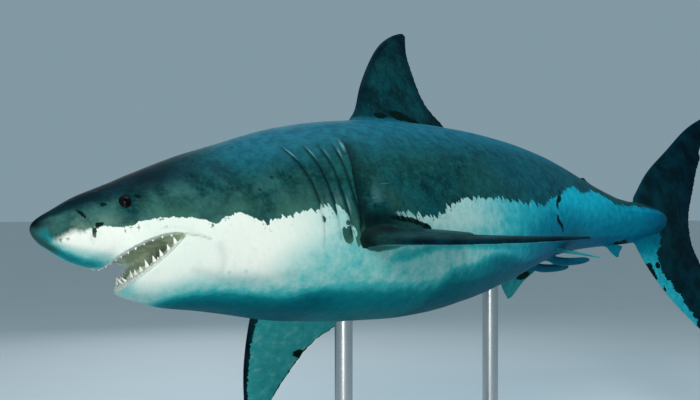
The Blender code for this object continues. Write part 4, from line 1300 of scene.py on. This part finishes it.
def torn_border(g, f):
    """Distance inside the torn edge of the white, and 1 in the white, 0 in the grey."""
    from_snout = g.math("ABSOLUTE", f.along)
    ragged = g.math("MULTIPLY_ADD", g.ramp(from_snout, 0.105, 0.2), 0.72, 0.28)
    torn = g.math("MULTIPLY_ADD", g.swing(f.streaks), 0.015, g.times(g.swing(f.tongues), 0.011))
    torn = g.math("MULTIPLY_ADD", torn, ragged, g.times(g.swing(f.fine), 0.0026))
    edge = g.math("ADD", f.tone, torn)
    crisp = g.math("MULTIPLY_ADD", g.ramp(from_snout, 0.022, 0.06), 0.9, 0.1)
    return edge, g.ramp(g.times(edge, crisp), -0.00025, 0.00045)


def coated(g, f, base, coats):
    """The base under coats that follow the noises."""
    for name, low, high, strength, tint in coats:
        base = g.coat(base, tint, g.ramp(getattr(f, name), low, high), strength)
    return base


def back_colour(g, f):
    """Mottled slate with a painted blue sheen along the top of the back, navy on crown and fins, with haze,
    scratches and dots.
    """
    slate = g.blend(f.mottle, 0.36, 0.66, (0.0015, 0.026, 0.031), (0.004, 0.076, 0.086))
    slate = coated(g, f, slate, SLATE_COATS)
    # colour of the painted blue sheen along the top of the back
    blue = g.blend(f.patchy, 0.36, 0.62, (0.004, 0.1, 0.15), (0.011, 0.15, 0.22))
    slate = g.mix(g.times(f.crest, 0.86), slate, blue)
    navy = g.blend(f.mottle, 0.38, 0.7, (0.0004, 0.008, 0.014), (0.0008, 0.025, 0.04))
    dark = g.mix(f.night, slate, navy)
    dark = g.coat(dark, (0.062, 0.19, 0.13), g.ramp(f.tone, -0.026, 0.0), g.ramp(f.cloud, 0.36, 0.64),
                  g.ramp(f.along, 0.37, 0.27), g.math("MULTIPLY_ADD", f.night, -0.55, 0.55))
    dark = g.coat(dark, (0.07, 0.17, 0.135), g.ramp(f.mottle, 0.4, 0.66), g.ramp(f.tone, -0.052, -0.016),
                  g.ramp(f.along, 0.27, 0.15), g.math("MULTIPLY_ADD", f.night, -0.5, 0.5))
    dark = g.coat(dark, (0.17, 0.29, 0.22), g.ramp(f.tone, -0.014, -0.001), g.ramp(f.along, 0.068, 0.045),
                  g.ramp(f.patchy, 0.3, 0.62), g.ramp(f.along, 0.016, 0.024), 0.55)
    dark = g.coat(dark, (0.12, 0.27, 0.265), g.ramp(f.scratches, 0.66, 0.74), g.ramp(f.patches, 0.5, 0.62),
                  0.4)
    return g.coat(dark, (0.001, 0.008, 0.009), f.dots, 0.65)


def belly_colour(g, f, edge):
    """White that turns teal where it is cool, darker teal in the painted shade of the underside, with
    freckles near its edge.
    """
    bright = coated(g, f, colour(0.84, 0.85, 0.77), WHITE_COATS)
    drift = g.math("ADD", f.cool, g.times(g.swing(f.patchy), g.ramp(f.cool, 0.1, 0.9)))
    for start, reach, tint in TEAL_STEPS:
        bright = g.coat(bright, tint, g.math("MULTIPLY_ADD", drift, 1 / reach, -start / reach, clamp=True))
    azure = g.math("MULTIPLY_ADD", g.ramp(f.along, 1.2, 1.8), -0.45, g.ramp(f.along, 0.34, 0.6))
    bright = g.mix(azure, bright, colour(0.1, 1.1, 1.45), "MULTIPLY")
    bright = g.coat(bright, (0.03, 0.09, 0.075), g.ramp(f.freckles, 0.6, 0.68),
                    g.ramp(g.math("ABSOLUTE", edge), 0.01, 0.001), 0.8)
    return g.coat(bright, (0.13, 0.26, 0.22), f.dots, 0.22)


def skin_material():
    """Slate back, white belly with a torn edge, ink marks, painted shade and highlights, and satin skin with
    fine denticles.
    """
    g = Graph("shark_skin")
    f = skin_fields(g)
    edge, white = torn_border(g, f)
    body = g.mix(white, back_colour(g, f), belly_colour(g, f, edge))
    ink_edge = g.math("ADD", f.ink, g.times(g.swing(f.patchy), 0.006))
    ink_edge = g.math("ADD", ink_edge, g.times(g.swing(f.fine), 0.002))
    body = g.coat(body, (0.001, 0.011, 0.009), g.ramp(ink_edge, -0.0002, 0.0005), 0.99)
    # painted shade: near black in the grey, grey-teal in the white; then painted highlights and lighter
    # patches where shade is negative
    shadow = g.mix(white, colour(0.0006, 0.004, 0.005), colour(0.03, 0.08, 0.075))
    body = g.mix(g.math("MAXIMUM", f.shade, 0.0), body, shadow)
    body = g.coat(body, (0.3, 0.52, 0.5), g.math("MAXIMUM", g.times(f.shade, -1.0), 0.0))
    normal = g.bump(f.creases, 0.0035, 0.55)
    normal = g.bump(f.pores, 0.0012, 0.5, normal)
    normal = g.bump(f.denticles, 0.0004, 0.5, normal)
    rough = g.math("ADD", 0.42, g.times(f.mottle, 0.2))
    return g.finish(Base_Color=body, Roughness=rough, Normal=normal, Specular_IOR_Level=0.02)


def lining_material():
    """Damp pale green-grey flesh inside the mouth, darkened by painted shade toward the throat and a little
    under the palate.
    """
    g = Graph("mouth_lining")
    folds = g.noise(g.object_points(), 60.0, 4.0, 0.6)
    tint = g.blend(folds, 0.35, 0.7, (0.44, 0.54, 0.37), (0.7, 0.75, 0.57))
    # painted shade from the shade attribute
    tint = g.coat(tint, (0.008, 0.035, 0.02), g.attribute("shade"))
    return g.finish(Base_Color=tint, Roughness=0.42, Normal=g.bump(folds, 0.006, 0.7), Coat_Weight=0.25,
                    Coat_Roughness=0.2)


def gum_material():
    """Pale wrinkled gum."""
    g = Graph("gum")
    wrinkles = g.noise(g.object_points(), 150.0, 4.0, 0.65)
    tint = g.blend(wrinkles, 0.35, 0.7, (0.42, 0.48, 0.44), (0.74, 0.78, 0.73))
    return g.finish(Base_Color=tint, Roughness=0.38, Normal=g.bump(wrinkles, 0.0035, 0.9), Coat_Weight=0.3,
                    Coat_Roughness=0.2)


def tongue_material():
    """Pale damp flesh with folds and a fine grain."""
    g = Graph("tongue_flesh")
    metres = g.object_points()
    folds, grainy = g.noise(metres, 45.0, 4.0, 0.6), g.noise(metres, 320.0, 3.0, 0.6)
    tint = g.blend(folds, 0.35, 0.7, (0.52, 0.6, 0.43), (0.76, 0.79, 0.62))
    normal = g.bump(grainy, 0.001, 0.6, g.bump(folds, 0.006, 0.5))
    return g.finish(Base_Color=tint, Roughness=0.4, Normal=normal, Coat_Weight=0.25, Coat_Roughness=0.2)


def tooth_material():
    """Ivory enamel that is a little darker and yellower toward the root."""
    g = Graph("tooth_enamel")
    streak = g.noise(g.object_points(), 220.0, 3.0, 0.5)
    tint = g.blend(streak, 0.3, 0.75, (0.78, 0.78, 0.7), (0.9, 0.9, 0.86))
    tint = g.coat(tint, (0.48, 0.44, 0.33), g.attribute("root"), 0.6)
    return g.finish(Base_Color=tint, Roughness=0.22, Normal=g.bump(streak, 0.0006, 0.5), Coat_Weight=0.3,
                    Coat_Roughness=0.1)


def eye_material():
    """Black pupil in a very dark brown iris."""
    g = Graph("eye_black")
    ring = g.attribute("ring")
    threads = g.noise(g.object_points(), 500.0, 3.0, 0.6)
    iris = g.mix(threads, colour(0.002, 0.002, 0.003), colour(0.008, 0.006, 0.007))
    tint = g.mix(g.ramp(ring, 0.42, 0.52), colour(0.0015, 0.002, 0.0025), iris)
    tint = g.mix(g.ramp(ring, 1.2, 1.3), tint, colour(0.02, 0.03, 0.028))
    rough = g.math("MULTIPLY_ADD", threads, 0.06, 0.16)
    return g.finish(Base_Color=tint, Roughness=rough, Specular_IOR_Level=0.05)


def plate_material():
    """Satin dark grey paint with a fine orange-peel surface and slight dust."""
    g = Graph("plate_paint")
    metres = g.object_points()
    dust, peel = g.noise(metres, 5.0, 5.0, 0.6), g.noise(metres, 420.0, 2.0, 0.5)
    tint = g.blend(dust, 0.35, 0.72, (0.05, 0.053, 0.058), (0.072, 0.075, 0.08))
    rough = g.math("MULTIPLY_ADD", dust, 0.16, 0.32)
    return g.finish(Base_Color=tint, Roughness=rough, Normal=g.bump(peel, 0.0004, 0.4))


def rod_material():
    """Brushed steel with rings of fine scratches round the rod."""
    g = Graph("brushed_steel")
    rings = g.noise(g.place(g.object_points(), (6.0, 6.0, 900.0)), 1.0, 3.0, 0.6)
    tint = g.mix(rings, colour(0.46, 0.47, 0.48), colour(0.62, 0.63, 0.64))
    rough = g.math("MULTIPLY_ADD", rings, 0.18, 0.22)
    return g.finish(Base_Color=tint, Metallic=1.0, Roughness=rough, Normal=g.bump(rings, 0.0002, 0.4))


def rubber_material():
    """Black rubber."""
    g = Graph("rubber_pad")
    grainy = g.noise(g.object_points(), 300.0, 3.0, 0.6)
    tint = g.mix(grainy, colour(0.016, 0.016, 0.017), colour(0.03, 0.03, 0.032))
    return g.finish(Base_Color=tint, Roughness=0.75, Normal=g.bump(grainy, 0.0005, 0.5))


def floor_material():
    """Pale matt floor of the studio."""
    g = Graph("pale_floor")
    cloudy = g.noise(g.object_points(), 1.2, 4.0, 0.5)
    tint = g.mix(cloudy, colour(0.66, 0.67, 0.68), colour(0.71, 0.72, 0.73))
    return g.finish(Base_Color=tint, Roughness=0.65)


# ---------------------------------------------------------------- the pieces
# Edges that turn more than this stay sharp, degrees
SKIN_ANGLE, FLESH_ANGLE, RUBBER_ANGLE, METAL_ANGLE = 52, 60, 40, 30


def settle(piece, material, angle=FLESH_ANGLE):
    """Smooth shading, material and body of a finished piece."""
    piece.data.materials.clear()
    piece.data.materials.append(material)
    piece.data.shade_smooth()
    piece.data.set_sharp_from_angle(angle=math.radians(angle))
    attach(piece, "root")
    return piece


def build(name, mesh, material, angle=FLESH_ANGLE):
    """A finished piece from (points, faces)."""
    return settle(tidy_faces(new_object(name, *mesh)), material, angle)


def posed(mesh):
    """Points and faces of the straight body frame, in the pose."""
    points, faces = mesh
    return pose(points), faces


def make_skin():
    """The whole skin, with the lining of the mouth as its second material."""
    skin = build_skin()
    points, touches, origin = soften(skin)
    paint(skin, points, touches)
    skin.data.vertices.foreach_set("co", pose(points).ravel())
    skin.data.update()
    skin.name = "shark_skin"
    settle(skin, skin_material(), SKIN_ANGLE)
    skin.data.materials.append(lining_material())
    skin.data.polygons.foreach_set("material_index", (origin == ORIGINS.index("lining")).astype(np.int32))
    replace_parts(skin, *FLESH_NODES)


def make_eyes():
    """Eyeballs with a slightly raised cornea, which look outward and a little ahead."""
    material = eye_material()
    for name, mirror in (("eye_left", -1), ("eye_right", 1)):
        centre = np.array([EYE_AT, mirror * (float(side(EYE_AT, EYE_LEVEL)) - EYE_DEPTH), EYE_LEVEL])
        points, faces = ellipsoid_mesh(centre, (EYE_RADIUS, EYE_RADIUS, EYE_RADIUS * EYE_TALL), 40, 64)
        axis = np.array([-0.16, mirror, 0.05])
        axis /= np.linalg.norm(axis)
        angle = np.arccos(np.clip((points - centre) @ axis / EYE_RADIUS, -1, 1))
        points += 0.0005 * (fall(angle, 0.95, 0.4))[:, None] * axis
        eye = build(name + "_ball", posed((points, faces)), material)
        store(eye, "ring", angle)
        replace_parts(eye, name)


def make_mouth():
    """Gums, teeth and tongue."""
    jaws = (("lower", True), ("upper", False))
    gum, enamel = gum_material(), tooth_material()
    for jaw, lower in jaws:
        build(jaw + "_gum", posed(gum_mesh(lower)), gum)
    for jaw, lower in jaws:
        parts = teeth_parts(lower)
        teeth = build(jaw + "_teeth", posed(merged(parts)), enamel)
        root = np.concatenate([np.repeat(TOOTH_ROOT, TOOTH_AROUND), [1.0, 0.0]])
        store(teeth, "root", np.tile(root, len(parts)))
    tongue = build("tongue_flesh", posed(tongue_mesh()), tongue_material())
    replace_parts(tongue, "tongue")


def ring_points(radius, z, centre, count):
    """Level circle as points."""
    a = circle(count)
    return np.stack([centre[0] + radius * np.cos(a), centre[1] + radius * np.sin(a), z + 0 * a], -1)


def rounded_outline(length, width, corner, z, inset, steps=12):
    """Level rectangle with round corners as points."""
    loop = []
    for cx, cy, start in ((1, 1, 0), (-1, 1, 90), (-1, -1, 180), (1, -1, 270)):
        for k in range(steps + 1):
            a, r = math.radians(start + 90 * k / steps), corner - inset
            x, y = cx * (length / 2 - corner), cy * (width / 2 - corner)
            loop.append((x + r * math.cos(a), y + r * math.sin(a), z))
    return np.array(loop)


def turned(profile, centre, count):
    """A turned piece as (points, faces) from its profile of height and radius."""
    return loft([ring_points(radius, z, centre, count) for z, radius in profile])


PAD_GAP = 0.003          # height of the underside of the plate above the floor
PAD_FROM_EDGE = 0.12
PAD_PROFILE = [(0.0, 0.028), (0.0012, 0.03), (0.0045, 0.03)]      # height, radius
RIM = 0.006              # rounding of the plate's rim
GROOVE = 0.0012          # depth of the groove round the plate's top
COLLAR_GAP = 0.0003      # the collars lie this far above the plate
ROD_RING = 0.03          # the last ring of a rod but one lies this far below the top of its solid
ROD_EXTRA = 0.01         # and a rod ends this far above the top of its solid, inside the body
SCREWS_AT = 0.065        # radius of the circle of screws
SCREW_PROFILE = [(0.013, 0.0065), (0.0185, 0.0065), (0.02, 0.0056), (0.02, 0.0034), (0.0175, 0.0032)]


def make_plate():
    """Plate with a rounded rim, a groove and rubber pads."""
    top = BASE_THICK
    profile = [(PAD_GAP, RIM), (PAD_GAP + 0.002, 0.002), (PAD_GAP + RIM, 0.0), (top - RIM, 0.0),
               (top - RIM * 0.62, RIM * 0.08), (top - RIM * 0.29, RIM * 0.29), (top - RIM * 0.08, RIM * 0.62),
               (top, RIM), (top, 0.055), (top - GROOVE, 0.0565), (top - GROOVE, 0.0605), (top, 0.062)]
    rings = [rounded_outline(BASE_LENGTH, BASE_WIDTH, BASE_CORNER, z, inset) for z, inset in profile]
    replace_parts(build("base_plate", loft(rings), plate_material(), METAL_ANGLE), "stand_base")
    x, y = BASE_LENGTH / 2 - PAD_FROM_EDGE, BASE_WIDTH / 2 - PAD_FROM_EDGE
    pads = [turned(PAD_PROFILE, (x * sx, y * sy), 40) for sx in (-1, 1) for sy in (-1, 1)]
    build("base_pads", merged(pads), rubber_material(), RUBBER_ANGLE)


def make_rod(name, node, steel):
    """A rod with its turned collar and four screws."""
    low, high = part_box(node)
    centre = ((low[0] + high[0]) / 2, (low[1] + high[1]) / 2)
    foot = BASE_THICK + COLLAR_GAP
    lip = foot + COLLAR_HEIGHT
    profile = [(foot, COLLAR_RADIUS), (foot + 0.01, COLLAR_RADIUS), (foot + 0.013, COLLAR_RADIUS - 0.001),
               (foot + 0.015, COLLAR_RADIUS - 0.004), (foot + 0.016, 0.052), (foot + 0.019, 0.046),
               (lip - 0.002, 0.043), (lip, 0.04), (lip + 0.0004, ROD_RADIUS),
               (high[2] - ROD_RING, ROD_RADIUS), (high[2] + ROD_EXTRA, ROD_RADIUS)]
    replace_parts(build(name, turned(profile, centre, 72), steel, METAL_ANGLE), node)
    screws = []
    for a in np.radians([45, 135, 225, 315]):
        spot = (centre[0] + SCREWS_AT * math.cos(a), centre[1] + SCREWS_AT * math.sin(a))
        screws.append(turned([(foot + z, radius) for z, radius in SCREW_PROFILE], spot, 24))
    build(name + "_screws", merged(screws), steel, METAL_ANGLE)


def make_stand():
    """The display stand."""
    make_plate()
    steel = rod_material()
    make_rod("rod_front", "stand_rod_front", steel)
    make_rod("rod_rear", "stand_rod_rear", steel)


# ---------------------------------------------------------------- stage, light and camera
VIEW_TURN = math.radians(41.4)                   # the camera looks this far round from +Y toward +X
SNOUT_IN_VIEW = (-0.98154, 3.68634, -0.08106)    # snout tip from the camera: right, ahead, up, in metres
LENS_MM = 61.714


def make_floor():
    """Studio floor and sky."""
    reach = 60.0
    corners = [(-reach, -reach, 0), (reach, -reach, 0), (reach, reach, 0), (-reach, reach, 0)]
    floor = new_object("floor", corners, [(0, 1, 2, 3)])
    floor.data.materials.append(floor_material())
    world = bpy.data.worlds.new("studio")
    bpy.context.scene.world = world
    world.use_nodes = True
    background = world.node_tree.nodes["Background"]
    background.inputs["Color"].default_value = (0.56, 0.8, 0.92, 1.0)
    background.inputs["Strength"].default_value = 0.4


def area_light(name, place, target, size, watts, tint, spread=180):
    """A round soft light that looks at the target."""
    data = bpy.data.lights.new(name, "AREA")
    data.shape = "DISK"
    data.size = size
    data.energy = watts
    data.color = tint
    data.spread = math.radians(spread)
    lamp = bpy.data.objects.new(name, data)
    bpy.context.scene.collection.objects.link(lamp)
    lamp.location = place
    lamp.rotation_euler = (Vector(target) - Vector(place)).to_track_quat("-Z", "Y").to_euler()


def make_lights():
    """Warm key and low fill from the left of the head, cool light from above, a rear light."""
    area_light("key", (-4.2, -4.6, 4.2), (-0.9, 0, 1.1), 2.0, 215, (1.0, 0.98, 0.94))
    area_light("top", (0.8, 0.6, 5.2), (0.5, 0, 1.2), 3.0, 110, (0.6, 0.88, 1.0))
    area_light("fill", (-4.0, -3.4, 0.9), (-1.2, 0, 1.0), 1.6, 9, (0.95, 1.0, 0.98), 80)
    area_light("rear", (2.5, 5.5, 3.5), (0.2, 0, 1.2), 4.0, 60, (0.92, 0.96, 1.0))


def make_camera():
    """Level camera, placed by the snout tip."""
    data = bpy.data.cameras.new("camera")
    data.sensor_width = 36.0
    data.lens = LENS_MM
    data.clip_end = 200.0
    camera = bpy.data.objects.new("camera", data)
    bpy.context.scene.collection.objects.link(camera)
    right, ahead, up = SNOUT_IN_VIEW
    c, s = math.cos(VIEW_TURN), math.sin(VIEW_TURN)
    snout = pose([(0.0, 0.0, 0.0)])[0]
    camera.location = (snout[0] - (right * c + ahead * s), snout[1] - (ahead * c - right * s), snout[2] - up)
    camera.rotation_euler = (math.pi / 2, 0.0, -VIEW_TURN)
    bpy.context.scene.camera = camera


make_skin()
make_eyes()
make_mouth()
make_stand()
make_floor()
make_lights()
make_camera()
bpy.context.scene.view_settings.view_transform = "Standard"
